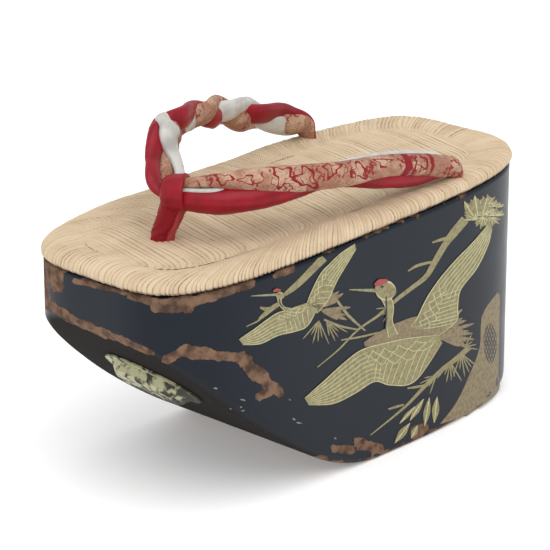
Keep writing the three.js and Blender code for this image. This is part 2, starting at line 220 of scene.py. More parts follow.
@dataclass(frozen=True)
class Lacquer:
    """Blue-black lacquer, worn through to brown ground, with painted shade on the underside, where a dull
    colour and low shine keep it dark, as the mesh says.
    """

    coat: tuple = (0.005, 0.0085, 0.0155)
    # Painted shade: colour of the underside and hollow, kept dark there by the low shine below
    dull: tuple = (0.016, 0.0145, 0.013)
    ground: tuple = (0.065, 0.038, 0.027)
    wood: tuple = (0.20, 0.118, 0.076)
    # Noises: size, detail, and reach where they swing
    patches: tuple = (6.0, 6.0, 2.0)
    chips: tuple = (1.4, 4.0, 0.35)
    stains: tuple = (5.0, 6.0)
    waves: tuple = (30.0, 3.0)
    smudges: tuple = (14.0, 5.0)
    worn_edge: tuple = (0.47, 0.52)
    stain_edge: tuple = (0.34, 0.66)
    wave_height: float = 0.35
    relief: float = 0.12
    coat_rough: tuple = (0.2, 0.4)
    dull_rough: float = 0.8
    worn_rough: float = 0.85
    coat_shine: float = 0.2
    # Low shine of the underside, part of its painted shade
    underside_shade_shine: float = 0.05
    worn_shine: float = 0.1

    def material(self) -> Material:
        """Makes the material.

        Returns:
            The finished material.
        """
        tree = Tree("lacquer")
        below = tree.field("below")
        edge = tree.math("ADD", tree.swing(*self.patches), tree.swing(*self.chips))
        chip = tree.steps(tree.math("ADD", tree.field("worn"), edge), *self.worn_edge)
        ground = tree.mix(tree.steps(tree.noise(*self.stains), *self.stain_edge), self.ground, self.wood)
        # Painted shade: the dull colour on the underside and hollow
        coat = tree.mix(below, self.coat, self.dull)
        wave = tree.math("MULTIPLY", tree.noise(*self.waves), self.wave_height)
        rough = tree.blend(below, tree.blend(tree.noise(*self.smudges), *self.coat_rough), self.dull_rough)
        shine = tree.blend(below, self.coat_shine, self.underside_shade_shine)
        return tree.shade({
            "Base Color": tree.mix(chip, coat, ground),
            "Roughness": tree.blend(chip, rough, self.worn_rough),
            "Specular IOR Level": tree.blend(chip, shine, self.worn_shine),
            "Normal": tree.bump(tree.math("SUBTRACT", wave, chip), self.relief),
        })


@dataclass(frozen=True)
class Rush:
    """Dry plaited rush; tone is each strip's own tint, and gap is the painted shade in the groove beside it
    and under the rim's foot.
    """

    pale: tuple = (0.64, 0.508, 0.352)
    deep: tuple = (0.52, 0.388, 0.248)
    # Painted shade in the grooves between strips and under the rim's foot
    gap: tuple = (0.07, 0.038, 0.018)
    # Noises: size, detail
    clouds: tuple = (12.0, 6.0)
    breaks: tuple = (7.0, 4.0)
    fibres: tuple = (0.6, 3.0)
    cloud_share: float = 0.85
    strip_share: float = 0.34
    deep_edge: tuple = (0.38, 0.95)
    break_edge: tuple = (0.38, 0.58)
    faint_groove_shade: float = 0.45
    rough: float = 0.72
    shine: float = 0.2
    relief: float = 0.08

    def material(self) -> Material:
        """Makes the material.

        Returns:
            The finished material.
        """
        tree = Tree("rush")
        cloud = tree.math("MULTIPLY", tree.noise(*self.clouds), self.cloud_share)
        shade = tree.math("ADD", cloud, tree.math("MULTIPLY", tree.field("tone"), self.strip_share))
        color = tree.mix(tree.steps(shade, *self.deep_edge), self.pale, self.deep)
        # Painted shade in the grooves, broken by noise so that some grooves are faint
        broken = tree.blend(tree.steps(tree.noise(*self.breaks), *self.break_edge), self.faint_groove_shade, 1.0)
        return tree.shade({
            "Base Color": tree.mix(tree.math("MULTIPLY", tree.field("gap"), broken), color, self.gap),
            "Roughness": self.rough,
            "Specular IOR Level": self.shine,
            "Normal": tree.bump(tree.noise(*self.fibres), self.relief),
        })


@dataclass(frozen=True)
class Satin:
    """Stuffed satin cloth in one colour."""

    name: str
    color: tuple
    shadow: tuple
    rough: float
    shine: float = 0.22
    # Noises: size, detail
    clouds: tuple = (6.0, 6.0)
    threads: tuple = (0.5, 3.0)
    cloud_edge: tuple = (0.35, 0.7)
    relief: float = 0.05

    def material(self) -> Material:
        """Makes the material.

        Returns:
            The finished material.
        """
        tree = Tree(self.name)
        cloud = tree.steps(tree.noise(*self.clouds), *self.cloud_edge)
        return tree.shade({
            "Base Color": tree.mix(cloud, self.color, self.shadow),
            "Roughness": self.rough,
            "Specular IOR Level": self.shine,
            "Normal": tree.bump(tree.noise(*self.threads), self.relief),
        })


@dataclass(frozen=True)
class Brocade:
    """Pale woven silk with gold specks; the mesh says where its red figures are."""

    silk: tuple = (0.34, 0.165, 0.108)
    gold: tuple = (0.17, 0.08, 0.04)
    pale: tuple = (0.48, 0.31, 0.215)
    red: tuple = (0.22, 0.01, 0.016)
    # Noises: size, detail, and reach where they swing
    specks: tuple = (0.85, 4.0)
    clouds: tuple = (11.0, 3.0)
    wobbles: tuple = (2.6, 4.0, 1.2)
    veins: tuple = (5.5, 2.0, 1.0)
    groups: tuple = (13.0, 2.0)
    speck_edge: tuple = (0.5, 0.6)
    cloud_edge: tuple = (0.45, 0.62)
    figure_edge: tuple = (0.5, 0.62)
    vein_edge: tuple = (0.038, 0.02)
    group_edge: tuple = (0.45, 0.52)
    speck_share: float = 0.5
    vein_share: float = 0.9
    rough: float = 0.62
    shine: float = 0.2
    relief: float = 0.14

    def material(self) -> Material:
        """Makes the material.

        Returns:
            The finished material.
        """
        tree = Tree("brocade")
        speck = tree.steps(tree.noise(*self.specks), *self.speck_edge)
        cloud = tree.steps(tree.noise(*self.clouds), *self.cloud_edge)
        ground = tree.mix(cloud, self.silk, self.pale)
        ground = tree.mix(tree.math("MULTIPLY", speck, self.speck_share), ground, self.gold)
        shape = tree.math("ADD", tree.field("figure"), tree.swing(*self.wobbles))
        vein = tree.steps(tree.math("ABSOLUTE", tree.swing(*self.veins), 0.0), *self.vein_edge)
        group = tree.steps(tree.noise(*self.groups), *self.group_edge)
        thread = tree.math("MULTIPLY", tree.math("MULTIPLY", vein, group), self.vein_share)
        figure = tree.math("MAXIMUM", tree.steps(shape, *self.figure_edge), thread)
        return tree.shade({
            "Base Color": tree.mix(figure, ground, self.red),
            "Roughness": self.rough,
            "Specular IOR Level": self.shine,
            "Normal": tree.bump(tree.noise(*self.specks), self.relief),
        })


@dataclass(frozen=True)
class Paint:
    """Sprinkled lacquer colour of a painted figure."""

    name: str
    color: tuple
    fleck: tuple
    # Noise of the flecks: size, detail
    flecks: tuple = (1.6, 6.0)
    fleck_edge: tuple = (0.38, 0.68)
    rough: float = 0.5
    shine: float = 0.4

    def material(self) -> Material:
        """Makes the material.

        Returns:
            The finished material.
        """
        tree = Tree(self.name)
        share = tree.steps(tree.noise(*self.flecks), *self.fleck_edge)
        color = tree.mix(share, self.color, self.fleck)
        return tree.shade({"Base Color": color, "Roughness": self.rough, "Specular IOR Level": self.shine})


@dataclass(frozen=True)
class Tarnish:
    """Tarnished thin sheet metal, brighter along the edge that is nearer the toe."""

    bright: tuple = (0.44, 0.43, 0.26)
    dull: tuple = (0.05, 0.047, 0.036)
    dull_edge: float = 74.0
    bright_edge: float = 93.0
    bright_share: float = 0.3
    # Noise of the tarnish: size, detail
    clouds: tuple = (3.2, 6.0)
    cloud_edge: tuple = (0.17, 0.32)
    metallic: float = 0.3
    rough: tuple = (0.4, 0.7)

    def material(self) -> Material:
        """Makes the material.

        Returns:
            The finished material.
        """
        tree = Tree("plate_metal")
        ahead = tree.add("ShaderNodeSeparateXYZ", {0: tree.place}).outputs["X"]
        # Brighter towards the toe, by place along the sandal
        nearer = tree.steps(ahead, self.dull_edge * MM, self.bright_edge * MM)
        nearer = tree.math("MULTIPLY", nearer, self.bright_share)
        cloud = tree.steps(tree.math("SUBTRACT", tree.noise(*self.clouds), nearer), *self.cloud_edge)
        return tree.shade({
            "Base Color": tree.mix(cloud, self.bright, self.dull),
            "Metallic": self.metallic,
            "Roughness": tree.blend(cloud, *self.rough),
        })


class Tint(Enum):
    """Colours of the painted figures."""

    OLIVE = Paint("paint_olive", (0.27, 0.24, 0.115), (0.19, 0.155, 0.075))
    PALE = Paint("paint_pale", (0.50, 0.48, 0.27), (0.40, 0.37, 0.19))
    BROWN = Paint("paint_brown", (0.235, 0.185, 0.10), (0.16, 0.115, 0.062))
    GREEN = Paint("paint_green", (0.25, 0.26, 0.15), (0.17, 0.17, 0.09))
    RED = Paint("paint_red", (0.36, 0.05, 0.045), (0.26, 0.05, 0.035))
    DARK = Paint("paint_dark", (0.025, 0.028, 0.034), (0.02, 0.022, 0.028))
    NICK = Paint("paint_nick", (0.24, 0.23, 0.22), (0.08, 0.08, 0.085))


def skin(
    name: str,
    points: Array,
    materials: Sequence[Material],
    wrap_columns: bool = False,
    wrap_rows: bool = False,
    caps: bool = False,
    fields: Optional[Mapping[str, Array]] = None,
) -> Piece:
    """Lays a smooth mesh over a grid of points.

    Args:
        name: Name of the new object.
        points: Points in millimetres, by row and column.
        materials: Materials of the object.
        wrap_columns: Joins the last column to the first.
        wrap_rows: Joins the last row to the first.
        caps: Closes the open ends.
        fields: Values for each point, by attribute name.

    Returns:
        The object, linked into the scene.
    """
    fields = dict(fields or {})
    if wrap_columns:
        points = np.concatenate([points, points[:, :1]], 1)
        fields = {key: np.concatenate([value, value[:, :1]], 1) for key, value in fields.items()}
    if wrap_rows:
        points = np.concatenate([points, points[:1]], 0)
        fields = {key: np.concatenate([value, value[:1]], 0) for key, value in fields.items()}
    rows, columns = points.shape[:2]
    bm = bmesh.new()
    bmesh.ops.create_grid(bm, x_segments=columns - 1, y_segments=rows - 1, size=1.0)
    layers = {key: bm.verts.layers.float.new(key) for key in fields}
    verts = list(bm.verts)
    for vert, spot in zip(verts, (points.reshape(-1, 3) * MM).tolist()):
        vert.co = spot
    for key, values in fields.items():
        for vert, value in zip(verts, values.reshape(-1).tolist()):
            vert[layers[key]] = value
    welds = {}
    if wrap_columns:
        welds.update({verts[r * columns + columns - 1]: verts[r * columns] for r in range(rows)})
    if wrap_rows:
        start = (rows - 1) * columns
        around = columns - 1 if wrap_columns else columns
        welds.update({verts[start + c]: verts[c % around] for c in range(columns)})
    if welds:
        bmesh.ops.weld_verts(bm, targetmap=welds)
    if caps:
        bmesh.ops.holes_fill(bm, edges=[edge for edge in bm.edges if edge.is_boundary], sides=0)
    bmesh.ops.recalc_face_normals(bm, faces=bm.faces)
    return finish_mesh(name, bm, materials)


def finish_mesh(name: str, bm: bmesh.types.BMesh, materials: Sequence[Material]) -> Piece:
    """Turns a bmesh into a smooth object in the scene.

    Args:
        name: Name of the new object.
        bm: The mesh, freed here.
        materials: Materials of the object.

    Returns:
        The object.
    """
    for face in bm.faces:
        face.smooth = True
    mesh = bpy.data.meshes.new(name)
    bm.to_mesh(mesh)
    bm.free()
    for material in materials:
        mesh.materials.append(material)
    obj = bpy.data.objects.new(name, mesh)
    bpy.context.scene.collection.objects.link(obj)
    return obj


def settle(obj: Piece, slot: str, *nodes: str) -> Piece:
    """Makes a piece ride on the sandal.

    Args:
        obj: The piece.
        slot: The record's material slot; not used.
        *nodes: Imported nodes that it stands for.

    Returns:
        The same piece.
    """
    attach(obj, "root")
    if nodes:
        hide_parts(*nodes)
    LOG.info("%s: %d faces", obj.name, len(obj.data.polygons))
    return obj


@dataclass(frozen=True)
class Photo:
    """The photograph's own view of the sandal, in millimetres and pixels."""

    eye: tuple = (818.4, 778.45, 474.1)
    right: tuple = (-0.7252, 0.6886, 0.0)
    up: tuple = (-0.2313, -0.2436, 0.9419)
    ahead: tuple = (-0.6485, -0.683, -0.3359)
    focal: float = 2000.0
    size: float = 550.0
    subject: tuple = (362.0, 280.0)
    zoom: float = 1.46
    sensor: float = 36.0
    clip_end: float = 20.0

    def rays(self, pixels: Array) -> Array:
        """Gives the direction in which each pixel looks.

        Args:
            pixels: Pixels, with x and y in the last axis.

        Returns:
            One direction of length one for each pixel.
        """
        away = np.asarray(pixels, float) - self.size / 2
        across = away[..., :1] * np.array(self.right) - away[..., 1:] * np.array(self.up)
        return unit(across + self.focal * np.array(self.ahead))

    def project(self, points: Array) -> Array:
        """Gives the pixel of each point.

        Args:
            points: Points in millimetres.

        Returns:
            Pixels, with x and y in the last axis.
        """
        way = points - np.array(self.eye)
        depth = way @ np.array(self.ahead)
        across = way @ np.array(self.right) / depth
        upward = way @ np.array(self.up) / depth
        return self.size / 2 + self.focal * np.stack([across, -upward], -1)

    def make_camera(self) -> Piece:
        """Makes the camera, turned to the one sandal and drawn closer.

        Returns:
            The camera, set as the scene's own.
        """
        data = bpy.data.cameras.new("camera")
        data.sensor_width = self.sensor
        data.lens = self.sensor * self.focal * self.zoom / self.size
        data.clip_end = self.clip_end
        camera = bpy.data.objects.new("camera", data)
        camera.location = Vector(self.eye) * MM
        look = Vector(self.rays(np.array(self.subject)))
        camera.rotation_euler = look.to_track_quat("-Z", "Y").to_euler()
        bpy.context.scene.collection.objects.link(camera)
        bpy.context.scene.camera = camera
        return camera


@dataclass(frozen=True)
class Studio:
    """Pale floor and soft white light."""

    floor_size: float = 12.0
    floor_color: tuple = (0.93, 0.93, 0.93)
    floor_rough: float = 0.6
    floor_shine: float = 0.2
    floor_glow: float = 0.2
    world_strength: float = 0.78
    key_power: float = 24.0
    key_place: tuple = (0.45, 0.85, 1.75)
    key_size: float = 2.0
    fill_power: float = 5.0
    fill_place: tuple = (1.6, -0.6, 1.5)
    aim: tuple = (0.0, 0.0, 0.06)

    def build(self) -> None:
        """Makes the floor, the lights and the white surroundings."""
        bm = bmesh.new()
        bmesh.ops.create_grid(bm, x_segments=1, y_segments=1, size=self.floor_size / 2)
        tree = Tree("floor")
        white = tree.shade({
            "Base Color": self.floor_color,
            "Roughness": self.floor_rough,
            "Specular IOR Level": self.floor_shine,
            "Emission Color": WHITE,
            "Emission Strength": self.floor_glow,
        })
        finish_mesh("floor", bm, [white])
        self.light("key", self.key_place, self.key_power, self.key_size)
        self.light("fill", self.fill_place, self.fill_power, self.key_size)
        world = bpy.data.worlds.new("world")
        world.use_nodes = True
        background = world.node_tree.nodes["Background"]
        background.inputs["Color"].default_value = WHITE
        background.inputs["Strength"].default_value = self.world_strength
        bpy.context.scene.world = world
        bpy.context.scene.view_settings.view_transform = "Standard"

    def light(self, name: str, place: Sequence[float], power: float, size: float) -> None:
        """Makes one square light that looks at the sandal.

        Args:
            name: Name of the light.
            place: Its place, in metres.
            power: Its power, in watts.
            size: Side of the square, in metres.
        """
        data = bpy.data.lights.new(name, "AREA")
        data.energy = power
        data.size = size
        lamp = bpy.data.objects.new(name, data)
        lamp.location = place
        lamp.rotation_euler = (Vector(self.aim) - Vector(place)).to_track_quat("-Z", "Y").to_euler()
        bpy.context.scene.collection.objects.link(lamp)


@dataclass(frozen=True)
class Plan:
    """The sandal's outline from above: a rounded oblong, a little wider at the toe."""

    length: float = 220.0
    width: float = 98.0
    flare: float = 0.03
    toe_squareness: float = 4.16
    heel_squareness: float = 3.89
    search_out: float = 40.0
    middle_gap: float = 0.01
    halvings: int = 26
    fine_steps: int = 8001

    def radius(self, angle: Array, inset: Any) -> Array:
        """Gives the outline's distance from the middle, before the flare."""
        power = np.where(np.cos(angle) > 0, self.toe_squareness, self.heel_squareness)
        return oval(angle, self.length / 2 - inset, self.width / 2 - inset, power)

    def outline(self, angle: Array, inset: Any) -> Array:
        """Gives points of the outline at angles, moved inwards by an inset.

        Args:
            angle: Angles around the middle.
            inset: Way inwards, in millimetres.

        Returns:
            Points, with x and y in the last axis.
        """
        radius = self.radius(angle, inset)
        x = radius * np.cos(angle)
        return np.stack([x, radius * np.sin(angle) * self.swell(x)], -1)

    def swell(self, x: Array) -> Array:
        """Gives the share by which the outline widens towards the toe."""
        return 1 + self.flare * x / (self.length / 2)

    def inset(self, x: Array, y: Array) -> Array:
        """Gives how far inside the outline a point lies, and less than nothing outside.

        Args:
            x: Places along the sandal.
            y: Places across it.

        Returns:
            Way inwards from the outline.
        """
        plain = y / self.swell(x)
        angle = np.arctan2(plain, x)
        reach = np.hypot(x, plain)
        low = np.full_like(reach, -self.search_out)
        high = np.full_like(reach, self.width / 2 - self.middle_gap)
        for _ in range(self.halvings):
            middle = (low + high) / 2
            inside = self.radius(angle, middle) > reach
            low, high = np.where(inside, middle, low), np.where(inside, high, middle)
        return low

    def even_angles(self, count: int) -> tuple[Array, Array]:
        """Gives angles at equal steps along the outline, from the right side round by the toe.

        Args:
            count: Number of steps.

        Returns:
            The angles, and each one's place along the outline in millimetres.
        """
        fine = np.linspace(-math.pi / 2, 1.5 * math.pi, self.fine_steps)
        line = self.outline(fine, 0.0)
        run = np.concatenate([[0.0], np.cumsum(np.linalg.norm(np.diff(line, axis=0), axis=1))])
        place = np.arange(count) / count * run[-1]
        return np.interp(place, run, fine), place


@dataclass
class Block:
    """The wooden block: flat heel base, slanting underside, upright wall, hollow below."""

    plan: Plan
    photo: Photo
    toe_top: float = 94.3
    heel_top: float = 103.0
    wall_inset: float = 0.8
    base_end: float = -4.0
    breast_radius: float = 66.0
    breast_angle: float = math.radians(31)
    slant_radius: float = 345.0
    top_edge: float = 0.8
    hollow_middle: float = -46.0
    hollow_half: tuple = (27.0, 27.0)
    hollow_squareness: float = 3.2
    hollow_roof: float = 52.0
    hollow_roof_radius: float = 9.0
    hollow_draft: float = 2.0
    roof_turns: tuple = (90, 60, 30, 0)
    draft_shares: tuple = (0.66, 0.33, 0.0)
    sole_span: tuple = (0.02, 0.98)
    columns: int = 640
    sole_rows: int = 20
    wall_rows: int = 64
    edge_rows: int = 7
    # Way from the eye in which the wall is looked for: nearest, farthest, steps
    search: tuple = (960.0, 1340.0, 96)
    halvings: int = 18
    probe: float = 0.2
    paint_foot: float = 0.2
    # Wear of a stroke: amount in its middle, loss over one reach
    stroke_wear: tuple = (1.5, 1.05)
    # Wall that the photograph sees: weight of x, weight of y, least sum
    seen: tuple = (0.65, 0.68, 0.1)
    # Wear at the base: way past its end, amount at the floor, rise that takes 1 away, share
    base_wear: tuple = (36.0, 1.25, 3.0, 0.72)
    # Wear at the top edge: amount, loss for each millimetre down
    brim_wear: tuple = (0.40, 0.2)
    # Bare hollow: slack to the sides, least rise, slack above, amount of wear
    bare: tuple = (0.1, 0.5, 1.0, 2.0)
    # Lower edge rounding: x, radius
    lower_edge: Rows = ((-106, 8), (-60, 3.5), (-35, 1.8), (0, 2), (40, 5), (85, 6), (109, 2))
    # Worn strokes in the photograph's pixels: from x, from y, to x, to y, reach
    wear: Rows = (
        (202, 268, 204, 292, 5), (210, 270, 213, 285, 5), (205, 297, 224, 309, 3.2),
        (224, 309, 247, 319, 3), (247, 319, 277, 332, 2.2), (225, 282, 262, 291, 1.8),
        (264, 292, 280, 298, 3.6), (280, 299, 303, 299, 5.2), (303, 299, 318, 293, 4),
        (318, 293, 345, 285, 4.4), (363, 280, 373, 276, 3.2), (287, 337, 300, 330, 3.4),
        (300, 331, 319, 334, 4), (323, 335, 338, 336, 3.6), (338, 336, 352, 351, 5),
        (352, 351, 364, 361, 4), (358, 360, 350, 364, 3), (402, 400, 412, 401, 3),
        (418, 396, 432, 401, 4), (456, 390, 462, 387, 4),
    )

    def top(self, x: Array) -> Array:
        """Gives the height of the top plane."""
        return self.heel_top + (self.toe_top - self.heel_top) * (x / self.plan.length + 0.5)

    def underside(self, x: Array) -> Array:
        """Gives the height of the underside.

        Args:
            x: Places along the sandal.

        Returns:
            Heights above the floor.
        """
        x = np.asarray(x, float)
        sine, cosine = math.sin(self.breast_angle), math.cos(self.breast_angle)
        join_x = self.base_end + self.breast_radius * sine
        near = np.clip(x - self.base_end, 0.0, join_x - self.base_end)
        breast = self.breast_radius - np.sqrt(self.breast_radius**2 - near**2)
        centre_x = join_x - self.slant_radius * sine
        centre_z = self.breast_radius * (1 - cosine) + self.slant_radius * cosine
        far = np.maximum(x, join_x) - centre_x
        return np.where(x < join_x, breast, centre_z - np.sqrt(self.slant_radius**2 - far**2))

    def edge_radius(self, x: Array) -> Array:
        """Gives the rounding of the lower edge."""
        return read(self.lower_edge, x)

    def inset_at(self, x: Array, z: Array) -> Array:
        """Gives the wall's inset at a height, with the lower edge's rounding.

        Args:
            x: Places along the sandal.
            z: Heights above the floor.

        Returns:
            Way inwards from the plan's outline.
        """
        radius = self.edge_radius(x)
        rise = 1 - np.clip((z - self.underside(x)) / radius, 0.0, 1.0)
        return self.wall_inset + radius * (1 - np.sqrt(1 - rise**2))

    def cast(self, pixels: Array, lift: Array) -> Array:
        """Lays points of the photograph on the wall.

        Args:
            pixels: Pixels, one row each.
            lift: Distance out from the wall, in millimetres, for each pixel.

        Returns:
            Points on the wall.
        """
        rays = self.photo.rays(pixels)
        eye = np.array(self.photo.eye)
        steps = np.linspace(*self.search)
        spots = eye[:2] + steps[None, :, None] * rays[:, None, :2]
        depth = self.plan.inset(spots[..., 0], spots[..., 1]) - self.wall_inset
        first = np.where((depth > 0).any(1), np.argmax(depth > 0, 1), np.argmax(depth, 1))
        low, high = steps[np.maximum(first - 1, 0)], steps[first]
        for _ in range(self.halvings):
            middle = (low + high) / 2
            spot = eye + middle[:, None] * rays
            inside = self.plan.inset(spot[:, 0], spot[:, 1]) > self.inset_at(spot[:, 0], spot[:, 2])
            low, high = np.where(inside, low, middle), np.where(inside, middle, high)
        spot = eye + high[:, None] * rays
        x, y, step = spot[:, 0].copy(), spot[:, 1].copy(), self.probe
        floor, ceiling = self.underside(x) + self.paint_foot, self.top(x) - self.top_edge
        spot[:, 2] = np.clip(spot[:, 2], floor, ceiling)
        slope_x = self.plan.inset(x - step, y) - self.plan.inset(x + step, y)
        slope_y = self.plan.inset(x, y - step) - self.plan.inset(x, y + step)
        out = unit(np.stack([slope_x, slope_y], -1))
        spot[:, :2] += out * np.asarray(lift)[:, None]
        return spot

    def rings(self) -> Array:
        """Gives the block's rings of points, from the hollow's roof round by the base to the top.

        Returns:
            Points, by ring and column.
        """
        angle, _ = self.plan.even_angles(self.columns)
        guide = self.plan.outline(angle, 0.0)[:, 0]
        radius = self.edge_radius(guide)
        rings = []
        shoulder = self.hollow_roof - self.hollow_roof_radius
        for turn in np.radians(self.roof_turns):
            inset = self.hollow_draft + self.hollow_roof_radius * (1 - math.cos(turn))
            rings.append(self.hollow_ring(angle, inset, shoulder + self.hollow_roof_radius * math.sin(turn)))
        for share in self.draft_shares:
            rings.append(self.hollow_ring(angle, self.hollow_draft * share, shoulder * share))
        rim = rings[-1][:, :2]
        sole = self.plan.outline(angle, self.wall_inset + radius)
        for share in np.linspace(*self.sole_span, self.sole_rows):
            plan = rim + (sole - rim) * share
            rings.append(np.column_stack([plan, self.underside(plan[:, 0])]))
        for turn in np.radians(np.linspace(90, 0, self.edge_rows)):
            plan = self.plan.outline(angle, self.wall_inset + radius * (1 - math.cos(turn)))
            rings.append(np.column_stack([plan, self.underside(plan[:, 0]) + radius * (1 - math.sin(turn))]))
        foot, plan = rings[-1][:, 2], rings[-1][:, :2]
        head = self.top(plan[:, 0]) - self.top_edge
        for share in np.arange(1, self.wall_rows + 1) / self.wall_rows:
            rings.append(np.column_stack([plan, foot + (head - foot) * share]))
        lid = self.plan.outline(angle, self.wall_inset + self.top_edge)
        rings.append(np.column_stack([lid, self.top(lid[:, 0])]))
        return np.array(rings)

    def hollow_ring(self, angle: Array, inset: float, height: float) -> Array:
        """Gives one ring of the hollow.

        Args:
            angle: Angles around the hollow.
            inset: Way inwards from its rim.
            height: Height above the floor.

        Returns:
            Points of the ring.
        """
        half_length, half_width = (half - inset for half in self.hollow_half)
        radius = oval(angle, half_length, half_width, self.hollow_squareness)
        x = self.hollow_middle + radius * np.cos(angle)
        return np.column_stack([x, radius * np.sin(angle), np.full_like(x, height)])

    def worn(self, points: Array) -> Array:
        """Gives how worn each point is, from 0 for whole lacquer to 2 for bare wood.

        Args:
            points: Points of the block.

        Returns:
            One amount for each point.
        """
        pixels = self.photo.project(points)
        amount = np.zeros(points.shape[:-1])
        middle, loss = self.stroke_wear
        for x0, y0, x1, y1, reach in self.wear:
            start, way = np.array([x0, y0]), np.array([x1 - x0, y1 - y0])
            share = np.clip(((pixels - start) @ way) / (way @ way), 0.0, 1.0)
            gap = np.linalg.norm(pixels - start - share[..., None] * way, axis=-1)
            amount = np.maximum(amount, middle - loss * gap / reach)
        x, y, z = points[..., 0], points[..., 1], points[..., 2]
        along, over, least = self.seen
        facing = x / (self.plan.length / 2) * along + y / (self.plan.width / 2) * over > least
        amount = np.where(facing, amount, 0.0)
        rise = z - self.underside(x)
        past, most, fade, share = self.base_wear
        base = (x < self.base_end + past) * np.clip(most - rise / fade, 0.0, 1.0) * share
        most, loss = self.brim_wear
        rim = np.clip(most - loss * (self.top(x) - z), 0.0, 1.0)
        slack, foot, above, bare = self.bare
        half_length, half_width = self.hollow_half
        inside = (np.abs(x - self.hollow_middle) < half_length + slack) & (rise > foot)
        inside &= (np.abs(y) < half_width + slack) & (z < self.hollow_roof + above)
        return np.where(inside, bare, np.maximum(np.maximum(amount, base), rim))

    def build(self) -> Piece:
        """Makes the block.

        Returns:
            The block.
        """
        rings = self.rings()
        wall = self.edge_rows + self.wall_rows + 1
        row = np.arange(len(rings)) - (len(rings) - wall)
        # Painted shade mask: 1 on the underside and in the hollow, fading to 0 across the lower edge's
        # rounding
        below = np.broadcast_to(1 - smoothstep(0, self.edge_rows - 1, row)[:, None], rings.shape[:2])
        fields = {"worn": self.worn(rings), "below": below}
        obj = skin("block", rings, [Lacquer().material()], wrap_columns=True, caps=True, fields=fields)
        return settle(obj, "lacquer", "platform")


